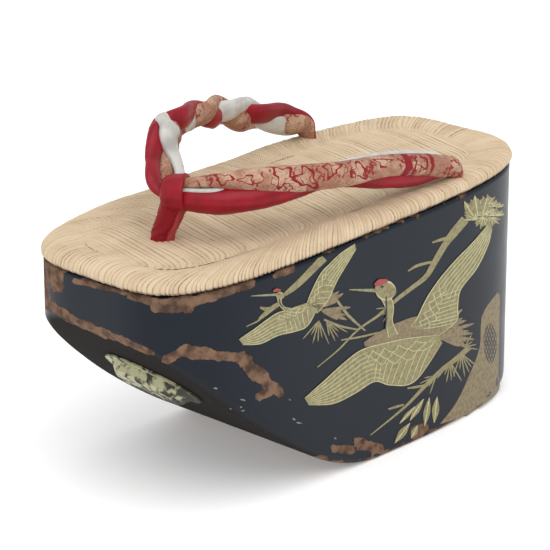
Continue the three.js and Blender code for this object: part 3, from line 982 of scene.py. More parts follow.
@dataclass
class RushMat:
    """The rush top: a rolled rim of wrapped strips around a middle of cross strips."""

    block: Block
    pitch: float = 2.15
    clearance: float = 0.3
    columns: int = 2300
    rim_rows: int = 34
    middle_columns: int = 1100
    middle_rows: int = 70
    ridge: float = 0.42
    sweep: float = 16.0
    slant: float = math.radians(13)
    middle_inset: float = 14.6
    middle_ridge: float = 0.75
    middle_sink: float = 0.3
    rim_sink: float = 0.12
    probe_steps: int = 601
    seed: int = 7
    # Chance values kept for the strips, and fibres in a strip
    chances: int = 512
    fibres: int = 3
    strip_tone: float = 0.6
    fibre_tone: float = 0.5
    roundness: float = 2.6
    unevenness: float = 0.1
    # Painted shade in the grooves: least depth, power of chance, and where it rises across the strip
    least_groove_shade: float = 0.22
    groove_shade_power: float = 1.5
    groove_shade_edge: tuple = (0.74, 0.96)
    # Lean of the strips on the rim: growth from the ends, first share of the section, power
    lean: tuple = (2.2, 0.28, 1.9)
    # Ridges at the rim's foot: share of the section in which they grow, least share of their height
    foot: tuple = (0.06, 0.25)
    # Painted shadow at the rim's foot: share of the section where it fades from full to none
    shadow_edge: tuple = (0.13, 0.22)
    wave_edge: tuple = (0.2, 0.5)
    # Bend of the cross strips at their ends: way, power
    bend: tuple = (5.0, 6)
    # Place in strips of the middle: length of a turn, drift over the strip, start
    run: tuple = (400.0, 0.02, 300.0)
    wave_run: tuple = (300.0, 500.0)
    # Ripples: size, seed, waves, fewest, most
    rim_wobble: tuple = (0.32, 3, 9, 5, 60)
    rim_waves: tuple = (0.35, 11, 6, 2, 13)
    middle_wobble: tuple = (0.3, 5, 8, 4, 40)
    middle_waves: tuple = (0.25, 9, 5, 1, 6)
    # Section through the rim: inset, rise
    section: Rows = (
        (3.4, 0.0), (1.6, 0.4), (0.5, 1.5), (0.35, 2.9), (1.0, 4.4), (2.8, 5.6), (5.4, 6.2), (8.4, 6.15),
        (11.4, 5.6), (13.8, 4.95), (15.4, 4.55), (16.6, 4.0),
    )
    # Height of the middle: inset, rise
    dish: Rows = ((13, 5.1), (16, 4.72), (22, 4.3), (30, 4.1), (49, 4.0))

    def ridges(self, phase: Array) -> tuple[Array, Array, Array]:
        """Shapes the strips.

        Args:
            phase: Place of each point, counted in strips.

        Returns:
            Height over the base, tone of the strip, and the painted shade of the groove beside it.
        """
        rng = np.random.default_rng(self.seed)
        strip = np.floor(phase).astype(int) % self.chances
        fibre = np.floor(self.fibres * phase).astype(int) % self.chances
        inside = np.abs(2 * (phase - np.floor(phase)) - 1)
        tone = self.strip_tone * rng.uniform(0, 1, self.chances)[strip]
        tone = tone + self.fibre_tone * rng.uniform(0, 1, self.chances)[fibre]
        height = self.ridge * (1 - inside**self.roundness)
        height = height + rng.uniform(-self.unevenness, self.unevenness, self.chances)[strip]
        depth = self.least_groove_shade + rng.uniform(0.0, 1.0, self.chances)[strip] ** self.groove_shade_power
        return height, tone, np.minimum(1.0, smoothstep(*self.groove_shade_edge, inside) * depth)

    def seat(self, x: Array) -> Array:
        """Gives the height of the mat's underside."""
        return self.block.top(x) + self.clearance

    def rim(self, material: Material) -> Piece:
        """Makes the rolled rim.

        Args:
            material: The rush.

        Returns:
            The rim.
        """
        angle, place = self.block.plan.even_angles(self.columns)
        girth = place[-1] + place[1]
        share = np.linspace(0, 1, self.rim_rows)
        section = curve(self.section, share)
        slope = unit(np.gradient(section, axis=0))
        growth, first, power = self.lean
        lean = np.sign(np.sin(angle)) * np.minimum(np.abs(np.sin(angle)) * growth, 1.0)
        inwards = np.clip((share - first) / (1 - first), 0.0, 1.0) ** power
        wobble = sway(self.rim_wobble, place / girth)
        count = round(girth / self.pitch)
        phase = count * (place[None, :] - self.sweep * inwards[:, None] * lean[None, :]) / girth + wobble
        height, tone, gap = self.ridges(phase % count)
        grown, least = self.foot
        height = height * np.clip(share / grown, least, 1.0)[:, None] - self.rim_sink
        inset = section[:, :1] - height * slope[:, 1:]
        rise = section[:, 1:] + height * slope[:, :1]
        rise += sway(self.rim_waves, place / girth)[None, :] * smoothstep(*self.wave_edge, share)[:, None]
        spot = self.block.plan.outline(np.broadcast_to(angle, inset.shape), inset)
        points = np.concatenate([spot, (self.seat(spot[..., 0]) + rise)[..., None]], -1)
        # Painted shadow at the rim's foot, where the mat sits on the block, joined into gap
        shadow = 1 - smoothstep(*self.shadow_edge, share)[:, None]
        fields = {"tone": tone, "gap": np.maximum(gap, shadow)}
        obj = skin("mat_rim", points, [material], wrap_columns=True, fields=fields)
        return settle(obj, "rush", "rush_mat")

    def middle(self, material: Material) -> Piece:
        """Makes the cross strips inside the rim.

        Args:
            material: The rush.

        Returns:
            The middle.
        """
        plan, tilt, half = self.block.plan, math.tan(self.slant), self.block.plan.width / 2
        ends = plan.length / 2 - self.middle_inset + tilt * half
        line = np.linspace(-ends, ends, self.middle_columns)
        probe = np.linspace(-half, half, self.probe_steps)
        place = line[:, None] + tilt * probe
        inside = plan.inset(place, np.broadcast_to(probe, place.shape)) > self.middle_inset
        held = inside.any(1)
        line, inside = line[held], inside[held]
        far = probe[np.argmax(inside, 1)]
        near = probe[len(probe) - 1 - np.argmax(inside[:, ::-1], 1)]
        share = np.linspace(0, 1, self.middle_rows)[:, None]
        y = far + (near - far) * share
        x = line + tilt * y
        way, power = self.bend
        turn, drift, start = self.run
        wobble = sway(self.middle_wobble, line[None, :] / turn + drift * share)
        phase = (line[None, :] - way * np.abs(2 * share - 1) ** power + start) / self.pitch + wobble
        height, tone, gap = self.ridges(phase)
        rise = read(self.dish, plan.inset(x, y)) + self.middle_ridge * height - self.middle_sink
        long, wide = self.wave_run
        rise += sway(self.middle_waves, x / long + y / wide)
        points = np.stack([x, y, self.seat(x) + rise], -1)
        fields = {"tone": tone, "gap": gap}
        return settle(skin("mat_middle", points, [material], fields=fields), "rush", "rush_mat")

    def build(self) -> None:
        """Makes the whole mat."""
        material = Rush().material()
        self.rim(material)
        self.middle(material)


# Twist of a tube's lengthwise pleats: turns around it, angle over its length
PLEAT_TWIST = (0.35, 3)
# Waves of the pleats around a tube, and of the puckers along it: count, fewest, most
PLEAT_WAVES = (4, 3, 9)
PUCKER_WAVES = (5, 6, 26)
# Puckers: depth as a share of the pleats' depth, twist in turns, step of the seed
PUCKER_DEPTH = 0.4
PUCKER_TWIST = 0.1
PUCKER_SEED = 20


def tube(
    name: str,
    centre: Array,
    side: Array,
    half_width: Array,
    half_thickness: Array,
    material: Material,
    sides: int = 28,
    folds: float = 0.0,
    seed: int = 1,
    fields: Optional[Callable[[Array, Array], Mapping[str, Array]]] = None,
) -> Piece:
    """Makes an oval stuffed tube along a line.

    Args:
        name: Name of the piece.
        centre: Points of the line.
        side: Direction that the tube's thin way faces, at each point.
        half_width: Half size the wide way, at each point.
        half_thickness: Half size the thin way, at each point.
        material: Its cloth.
        sides: Points around the tube.
        folds: Depth of the soft lengthwise pleats, as a share of the size.
        seed: Seed of the pleats.
        fields: Gives attribute values from the share along and the share around.

    Returns:
        The tube.
    """
    ahead = unit(np.gradient(centre, axis=0))
    thin = unit(side - (side * ahead).sum(-1, keepdims=True) * ahead)
    wide = np.cross(thin, ahead)
    around = np.arange(sides) / sides
    along = np.linspace(0, 1, len(centre))
    turn = 2 * math.pi * around
    twist, swings = PLEAT_TWIST
    twisted = around[None, :] + twist * np.sin(swings * along[:, None] + seed)
    pleat = 1 + folds * ripple(twisted, seed, *PLEAT_WAVES)
    twisted = along[:, None] + PUCKER_TWIST * around[None, :]
    pleat += PUCKER_DEPTH * folds * ripple(twisted, seed + PUCKER_SEED, *PUCKER_WAVES)
    points = centre[:, None, :] + pleat[..., None] * (
        (half_width[:, None] * np.cos(turn))[..., None] * wide[:, None, :]
        + (half_thickness[:, None] * np.sin(turn))[..., None] * thin[:, None, :]
    )
    values = fields(along[:, None], around[None, :]) if fields else None
    return skin(name, points, [material], wrap_columns=True, caps=True, fields=values)


class Laid(Enum):
    """Columns of each laid tube in the left strap's table: height, way inwards (0 for none), fill."""

    BROCADE = (2, 0, 7)
    RED = (3, 5, 8)
    WHITE = (4, 6, 9)


@dataclass
class Thong:
    """Both straps: a plait on the right and three laid tubes on the left."""

    steps: int = 360
    sides: int = 28
    fine_sides: int = 72
    plait_tube: tuple = (4.9, 2.9)
    tube_radius: float = 4.9
    plait_face: tuple = (-0.65, -0.68, -0.34)
    plait_lean: float = math.radians(35)
    plait_depth: float = 2.2
    full_spread: float = 3.4
    plait_folds: float = 0.02
    plait_seed: int = 2
    laid_folds: float = 0.022
    laid_seed: int = 5
    hold_ease: float = 0.3
    # Half of the turn in which a shy strand goes back and comes again
    shy_ease: tuple = (0.06, 0.1)
    # Plait: x, y, z, spread, fill, turn, lead of the white strand
    right: Rows = (
        (66.4, 0.9, 120.4, 2.6, 0.6, -0.02, 0.18), (64.6, -5.2, 122.6, 4.8, 0.66, 0, 0.2),
        (58.3, -12.2, 125.4, 5.3, 0.68, 0.02, 0.26), (53.6, -16.9, 129.6, 4.8, 0.8, 0.06, 0.3),
        (48.6, -20.7, 134, 3.4, 1, 0.4, 0.12), (42, -24.4, 135.8, 2.7, 1, 0.8, 0),
        (28, -30, 134.8, 2.4, 1, 1, 0), (15, -34, 133.3, 2.5, 1, 1.22, 0),
        (1, -38, 130.5, 2.8, 1, 1.5, 0), (-14, -40.5, 126, 3, 1, 1.74, 0),
        (-29, -42.5, 121.2, 3, 0.98, 1.94, 0), (-43, -43, 116.8, 2.6, 0.95, 2.06, 0),
        (-53.5, -42, 113, 1.5, 0.9, 2.12, 0), (-56.6, -40.8, 105, 0.4, 0.7, 2.12, 0),
    )
    # Strands held to one side before the plait sets in: order, last turn, share of the spread,
    # way back (forward where it is below 0), share of the fill
    held: Rows = ((0, 1.0, 1, 0, 1), (1, 0.83, -0.5, 1.6, 1.3), (2, 0.5, -1.15, -1, 0.72))
    # Strands that pass further back for a while: order, first turn, last turn, share of the swing,
    # way back (forward where it is below 0)
    shy: Rows = (
        (0, 0.45, 0.84, 0.5, 3.4), (2, 0.2, 0.6, 1, -2), (2, 0.84, 1.3, 0.35, 2), (0, 1.32, 1.6, 0.75, 0.5),
        (1, 2.03, 2.12, 1, -4), (1, 2.13, 3, 0.6, 1), (0, 2.08, 3, 0.5, -2),
    )
    # Laid tubes: x, y, brocade z, red z, white z, tuck, inner, brocade fill, red fill, white fill
    left: Rows = (
        (66.4, 1.8, 123.6, 118.4, 121.5, -1, -1.5, 0.4, 0.8, 0.24),
        (59, 15, 126, 118.4, 122.9, -1, -2.6, 0.58, 1.05, 0.22),
        (51, 22.5, 126.4, 118.8, 122.4, -1, 1.5, 0.84, 1.05, 0.4),
        (41, 28.5, 125.6, 119.4, 121.4, 0, 5.5, 1.06, 1, 0.85),
        (29, 32.8, 124.2, 120.6, 121.2, 1.5, 6.5, 1.1, 0.95, 0.9),
        (15.6, 36, 123, 121, 121, 3, 6.5, 1.06, 0.85, 0.9),
        (1.4, 38.6, 122, 119.2, 120.8, 3, 6.5, 1.02, 0.9, 0.9),
        (-14, 40.3, 121.2, 116, 120.4, 2, 6.5, 0.92, 0.95, 0.9),
        (-31, 41.2, 118, 112.8, 118.2, 2, 6, 0.94, 0.9, 0.88),
        (-45, 41.2, 114.2, 112, 115.4, 1, 3.5, 0.95, 0.7, 0.8),
        (-54, 40.9, 111.6, 111.2, 111.6, 0, 1.2, 0.84, 0.5, 0.5),
        (-57.5, 40.8, 105, 105, 105, 0, 0.4, 0.6, 0.4, 0.4),
    )
    # Red figures of the laid brocade: share along, share around, half length, half girth, ring width
    figures: Rows = (
        (0.13, 0.66, 0.03, 0.1, 0.3), (0.2, 0.7, 0.02, 0.08, 0.3), (0.3, 0.64, 0.03, 0.12, 0.28),
        (0.37, 0.7, 0.034, 0.14, 0.28), (0.45, 0.62, 0.025, 0.1, 0.3), (0.53, 0.7, 0.03, 0.1, 0.28),
        (0.61, 0.64, 0.02, 0.08, 0.3), (0.68, 0.66, 0.016, 0.5, 0.0), (0.72, 0.66, 0.024, 0.16, 0.3),
        (0.76, 0.62, 0.011, 0.4, 0.0),
    )
    # Bulges of a ring: size, lobes, shift with the place along
    bulges: Rows = ((0.3, 3, 40), (0.2, 5, 70))
    ring_reach: float = 0.75
    bar_reach: float = 1.3

    def figure(self, along: Array, around: Array) -> Mapping[str, Array]:
        """Gives where the brocade's red figures lie.

        Args:
            along: Share along the tube.
            around: Share around it.

        Returns:
            The attribute for red figures, 1 where they are full.
        """
        value = np.zeros(np.broadcast(along, around).shape)
        for at, girth, half_length, half_girth, ring in self.figures:
            turn = (around - girth + 0.5) % 1 - 0.5
            way_along, way_around = (along - at) / half_length, turn / half_girth
            reach = np.hypot(way_along, way_around)
            if ring > 0:
                angle = np.arctan2(way_around, way_along)
                bulge = sum(size * np.sin(lobes * angle + shift * at) for size, lobes, shift in self.bulges)
                reach = reach * (1 + bulge)
                value = np.maximum(value, 1 - np.abs(reach - self.ring_reach) / ring)
            else:
                value = np.maximum(value, self.bar_reach - reach)
        return {"figure": np.clip(value, 0.0, 1.0)}

    def no_figure(self, along: Array, around: Array) -> Mapping[str, Array]:
        """Gives brocade without red figures."""
        return {"figure": np.zeros(np.broadcast(along, around).shape)}

    def plait(self, order: int, name: str, material: Material) -> Piece:
        """Makes one strand of the plait.

        Args:
            order: Its place in the plait, from 0.
            name: Name of its cloth.
            material: Its cloth.

        Returns:
            The strand.
        """
        rows = curve(self.right, np.linspace(0, 1, self.steps))
        middle, spread, fill, turn = rows[:, :3], rows[:, 3], rows[:, 4], rows[:, 5]
        if name == "white":
            turn = turn + rows[:, 6]
        ahead = unit(np.gradient(middle, axis=0))
        upright = unit(np.cross(ahead, np.array(self.plait_face)))
        edge = math.cos(self.plait_lean) * upright + math.sin(self.plait_lean) * np.cross(ahead, upright)
        front = np.cross(ahead, edge)
        angle = 2 * math.pi * (turn - order / 3)
        depth = -self.plait_depth * np.minimum(1.0, spread / self.full_spread) * np.sin(2 * angle)
        swing = spread * np.cos(angle)
        for still, last, share, back, slim in self.held:
            if order == still:
                weight = 1 - smoothstep(last - self.hold_ease, last, turn)
                fill = fill * (1 + (slim - 1) * weight)
                swing = swing + (share * spread - swing) * weight
                depth = depth - (depth + back) * weight
        going, coming = self.shy_ease
        for shy, first, last, share, back in self.shy:
            if order == shy:
                weight = smoothstep(first - going, first + going, turn)
                weight = weight * (1 - smoothstep(last - coming, last + coming, turn))
                swing = swing * (1 - (1 - share) * weight)
                depth = depth - back * weight
        centre = middle + edge * swing[:, None] + front * depth[:, None]
        half_width, half_thickness = (size * fill for size in self.plait_tube)
        fields = self.no_figure if name == "brocade" else None
        return tube(
            f"plait_{name}", centre, front, half_width, half_thickness, material,
            self.sides, self.plait_folds, order + self.plait_seed, fields,
        )

    def laid(self, which: Laid, material: Material) -> Piece:
        """Makes one tube of the left strap.

        Args:
            which: Which of the three.
            material: Its cloth.

        Returns:
            The tube.
        """
        height, inwards, fill = which.value
        rows = curve(self.left, np.linspace(0, 1, self.steps))
        centre = rows[:, [0, 1, height]].copy()
        ahead = unit(np.gradient(centre, axis=0))
        side = unit(np.cross(np.array([0.0, 0.0, 1.0]), ahead))
        if inwards:
            centre += side * rows[:, inwards : inwards + 1]
        radius = self.tube_radius * rows[:, fill]
        fields = self.figure if which is Laid.BROCADE else None
        sides = self.fine_sides if fields else self.sides
        return tube(
            f"laid_{which.name.lower()}", centre, side, radius, radius, material,
            sides, self.laid_folds, height + self.laid_seed, fields,
        )

    def build(self) -> None:
        """Makes both straps."""
        red = Satin("strap_red", (0.27, 0.005, 0.015), (0.2, 0.004, 0.011), 0.36).material()
        white = Satin("strap_white", (0.56, 0.545, 0.52), (0.43, 0.415, 0.39), 0.4).material()
        brocade = Brocade().material()
        strands = [
            self.plait(0, "red", red),
            self.plait(1, "brocade", brocade),
            self.plait(2, "white", white),
            self.laid(Laid.BROCADE, brocade),
            self.laid(Laid.RED, red),
            self.laid(Laid.WHITE, white),
        ]
        for strand in strands:
            settle(strand, "strap_cloth", "strap_upper")


@dataclass
class ToeLoop:
    """The red loop: a sleeve around the knot and a folded leg into the mat."""

    left_end: tuple = (63.6, 6.4, 120.6)
    right_end: tuple = (68.4, -2.0, 120.2)
    inner: float = 5.2
    outer: float = 7.3
    around: int = 56
    leg_steps: int = 60
    leg_folds: float = 0.05
    leg_seed: int = 13
    # Ripple of the sleeve: size, seed, waves, fewest, most
    sleeve_wave: tuple = (0.012, 4, 4, 3, 11)
    # Sleeve section: share along, share from inner to outer
    section: Rows = (
        (0.02, 0.1), (0.0, 0.6), (0.03, 1.1), (0.1, 1.2), (0.17, 1.05), (0.45, 1.0), (0.7, 0.86), (0.88, 0.5),
        (0.98, 0.1), (1.04, -0.4), (0.98, -0.6), (0.5, -0.2),
    )
    # Leg: x, y, z, half width, half thickness
    leg_rows: Rows = (
        (66.6, 1.0, 116, 4.6, 2.8), (66.9, -1.0, 111, 4.2, 2.6), (67.6, -2.8, 106, 3.9, 2.7),
        (68.3, -4, 102, 3.9, 2.9), (68.7, -4.2, 97, 3.8, 3.2),
    )
    # Folded inner layer of the leg: x, y, z, half width, half thickness
    fold_rows: Rows = (
        (64.2, 3.6, 115, 2.6, 2.2), (64.4, 1.8, 110.6, 2.4, 2.2), (65.2, -0.3, 106, 2.4, 2.2),
        (66.1, -1.6, 102, 2.4, 2.4), (66.5, -1.8, 97, 2.4, 2.4),
    )
    leg_face: tuple = (0.8, 0.55, 0.2)

    def sleeve(self, material: Material) -> Piece:
        """Makes the sleeve around the knot.

        Args:
            material: Its cloth.

        Returns:
            The sleeve.
        """
        start, end = np.array(self.left_end), np.array(self.right_end)
        axis = unit(end - start)
        over = unit(np.cross(axis, np.array([0.0, 0.0, 1.0])))
        upward = np.cross(over, axis)
        turn = 2 * math.pi * np.arange(self.around) / self.around
        section = np.array(self.section, float)
        spoke = np.cos(turn)[:, None] * upward + np.sin(turn)[:, None] * over
        reach = self.inner + (self.outer - self.inner) * section[:, 1]
        wave = 1 + sway(self.sleeve_wave, turn / (2 * math.pi))
        points = start + section[:, :1, None] * (end - start) + (reach[:, None] * wave)[..., None] * spoke
        return skin("loop_sleeve", points, [material], wrap_columns=True, wrap_rows=True)

    def leg(self, name: str, table: Rows, material: Material) -> Piece:
        """Makes one layer of the leg from its table.

        Args:
            name: Name of the piece.
            table: Its rows.
            material: Its cloth.

        Returns:
            The layer.
        """
        rows = curve(table, np.linspace(0, 1, self.leg_steps))
        side = np.broadcast_to(np.array(self.leg_face), (self.leg_steps, 3))
        return tube(
            name, rows[:, :3], side, rows[:, 3], rows[:, 4], material,
            folds=self.leg_folds, seed=self.leg_seed,
        )

    def build(self) -> None:
        """Makes the loop."""
        red = Satin("loop_red", (0.26, 0.005, 0.014), (0.19, 0.004, 0.01), 0.36).material()
        pink = Satin("loop_fold", (0.42, 0.06, 0.065), (0.28, 0.02, 0.03), 0.45).material()
        pieces = (
            self.sleeve(red),
            self.leg("loop_leg", self.leg_rows, red),
            self.leg("loop_fold", self.fold_rows, pink),
        )
        for piece in pieces:
            settle(piece, "loop_cloth", "toe_loop")


@dataclass
class Plate:
    """The metal cover on the slanting underside."""

    def build(self) -> None:
        """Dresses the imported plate."""
        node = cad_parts["front_plate"]
        node.data.materials.clear()
        node.data.materials.append(Tarnish().material())
        LOG.info("front_plate dressed")


# Steps along a painted area, and bands across it
AREA_STEPS = 40
AREA_BANDS = 9


@dataclass
class Drawing:
    """Painted figures on the wall, drawn on an enlargement of the photograph."""

    block: Block
    corner: tuple = (325.0, 225.0)
    enlargement: float = 6.0
    lift: float = 0.05
    # Ends of a stroke: share of its width at the tip, growth over its length
    taper: tuple = (0.3, 5.0)
    # Length of a needle: share that stays, share that swings, swing from one to the next
    needle: tuple = (0.82, 0.18, 2.4)
    needle_steps: int = 6
    patches: list = field(default_factory=list)

    def patch(self, points: Array, tint: Tint, layer: float) -> None:
        """Paints a grid of points.

        Args:
            points: Enlarged pixels, by row and column.
            tint: Its colour.
            layer: Its place in the pile of paint, from 1.
        """
        self.patches.append((points, tint, layer))

    def between(self, one: Rows, other: Rows, tint: Tint, layer: float) -> None:
        """Paints the area between two lines of x and y.

        Args:
            one: Rows of one line.
            other: Rows of the other line.
            tint: Its colour.
            layer: Its place in the pile of paint.
        """
        share = np.linspace(0, 1, AREA_STEPS)
        near, far = curve(one, share)[:, None], curve(other, share)[:, None]
        self.patch(near + (far - near) * np.linspace(0, 1, AREA_BANDS)[:, None], tint, layer)

    def ribbon(self, rows: Rows, tint: Tint, layer: float, steps: int = 24, across: int = 5) -> None:
        """Paints a smooth band along rows of x, y and width."""
        self.band(curve(rows, np.linspace(0, 1, steps)), tint, layer, across)

    def band(self, line: Array, tint: Tint, layer: float, across: int = 2) -> None:
        """Paints a band along points of x, y and width.

        Args:
            line: Points of x, y and width.
            tint: Its colour.
            layer: Its place in the pile of paint.
            across: Number of points across it.
        """
        ahead = unit(np.gradient(line[:, :2], axis=0))
        over = np.stack([-ahead[:, 1], ahead[:, 0]], -1) * line[:, 2:]
        self.patch(line[:, None, :2] + over[:, None] * np.linspace(-0.5, 0.5, across)[:, None], tint, layer)

    def stroke(self, points: Array, width: float, tint: Tint, layer: float) -> None:
        """Paints a thin line with pointed ends along points of x and y.

        Args:
            points: Points of x and y.
            width: Its full width.
            tint: Its colour.
            layer: Its place in the pile of paint.
        """
        share = np.linspace(0, 1, len(points))
        tip, growth = self.taper
        taper = np.minimum(1.0, tip + growth * np.minimum(share, 1 - share))
        self.band(np.column_stack([points, width * taper]), tint, layer)

    def spray(self, rows: Rows, width: float, tint: Tint, layer: float) -> None:
        """Paints fans of straight needles.

        Args:
            rows: Rows of x, y, length, first angle, last angle (degrees from right to down) and count.
            width: Width of a needle.
            tint: Its colour.
            layer: Its place in the pile of paint.
        """
        stays, swings, swing = self.needle
        share = np.linspace(0, 1, self.needle_steps)[:, None]
        for x, y, length, first, last, count in rows:
            for number, angle in enumerate(np.radians(np.linspace(first, last, int(count)))):
                reach = length * (stays + swings * math.cos(swing * number))
                way = np.array([math.cos(angle), math.sin(angle)]) * reach
                self.stroke(np.array([x, y]) + share * way, width, tint, layer)

    def lay(self) -> Piece:
        """Lays all that was painted on the wall.

        Returns:
            The painted piece.
        """
        flat = np.concatenate([points.reshape(-1, 2) for points, _, _ in self.patches])
        lifts = [np.full(points.size // 2, self.lift * layer) for points, _, layer in self.patches]
        pixels = np.array(self.corner) + flat / self.enlargement
        spots = self.block.cast(pixels, np.concatenate(lifts)) * MM
        tints = list(Tint)
        bm = bmesh.new()
        start = 0
        for points, tint, _ in self.patches:
            rows, columns = points.shape[:2]
            made = bmesh.ops.create_grid(bm, x_segments=columns - 1, y_segments=rows - 1, size=1.0)["verts"]
            for vert, spot in zip(made, spots[start : start + len(made)].tolist()):
                vert.co = spot
            for face in {face for vert in made for face in vert.link_faces}:
                face.material_index = tints.index(tint)
            start += len(made)
        obj = finish_mesh("painted_figures", bm, [tint.value.material() for tint in tints])
        return settle(obj, "lacquer")


@dataclass(frozen=True)
class Wing:
    """An open wing between two edges, each a table of x and y from the tip to the root."""

    leading: Rows
    trailing: Rows
    quills: int = 8
    vanes: int = 9
    bars: int = 3
    split: float = 0.5
    line: float = 3.4
    edge_share: float = 1.2
    # Quills: share of the wing where they start, growth of their length to the trailing edge
    quill: tuple = (0.03, 0.14)
    # Vanes: way back along the wing, share where they start, share that they cross
    vane: tuple = (0.1, 0.42, 0.56)
    # Bars: share of the first one, step to the next, scallops, share where they end
    bar: tuple = (0.1, 0.13, 5, 0.97)
    quill_steps: int = 16
    bar_steps: int = 90

    def at(self, along: Array, over: Any) -> Array:
        """Gives points, by the share from tip to root and the share from leading to trailing edge."""
        front, back = curve(self.leading, along), curve(self.trailing, along)
        return front + (back - front) * np.broadcast_to(over, along.shape)[:, None]

    def draw(self, drawing: Drawing, layer: int) -> None:
        """Paints the wing with its quills, vanes and the scalloped bars at its root.

        Args:
            drawing: What it is painted in.
            layer: Its place in the pile of paint.
        """
        drawing.between(self.leading, self.trailing, Tint.OLIVE, layer)
        whole = np.linspace(0, 1, AREA_STEPS)
        for edge in (0.0, 1.0):
            drawing.stroke(self.at(whole, edge), self.edge_share * self.line, Tint.PALE, layer + 1)
        lines = []
        run = np.linspace(0, 1, self.quill_steps)
        start, growth = self.quill
        for quill in range(1, self.quills):
            over = quill / self.quills
            lines.append(self.at(start + (self.split + growth * over) * run, over))
        back, start, crossed = self.vane
        for vane in range(self.vanes):
            root = self.split + back + (1 - back - self.split) * vane / self.vanes
            lines.append(self.at(root - back * run, start + crossed * run))
        fine = np.linspace(0, 1, self.bar_steps)
        start, step, scallops, end = self.bar
        for bar in range(self.bars):
            over = start + step * bar + step * np.abs(np.sin(math.pi * (scallops * fine + 0.5 * bar)))
            lines.append(self.at(self.split + (end - self.split) * fine, over))
        for line in lines:
            drawing.stroke(line, self.line, Tint.PALE, layer + 1)


@dataclass(frozen=True)
class Crane:
    """A flying crane: two wings, and bands of x, y and width for the rest of it."""

    low: Wing
    high: Wing
    body: Rows
    neck: Rows
    throat: Rows
    head: Rows
    crown: Rows
    beak: Rows
    eye: Rows
    # Tail feathers: x, y, length, first angle, last angle, count
    tail: Rows
    tail_width: float = 14.0
    inner_share: float = 0.8

    def draw(self, drawing: Drawing) -> None:
        """Paints the crane, each part in its layer.

        Args:
            drawing: What it is painted in.
        """
        drawing.spray(self.tail, self.tail_width, Tint.BROWN, 3)
        drawing.ribbon(self.body, Tint.BROWN, 4)
        self.high.draw(drawing, 4)
        self.low.draw(drawing, 5)
        drawing.ribbon(self.beak, Tint.GREEN, 6)
        for part, layer in ((self.neck, 6), (self.head, 7)):
            drawing.ribbon(part, Tint.PALE, layer)
            inner = [(x, y, self.inner_share * width) for x, y, width in part]
            drawing.ribbon(inner, Tint.OLIVE, layer + 0.5)
        drawing.ribbon(self.throat, Tint.DARK, 8.5, across=2)
        drawing.ribbon(self.crown, Tint.RED, 8.5)
        drawing.ribbon(self.eye, Tint.DARK, 9, steps=8)


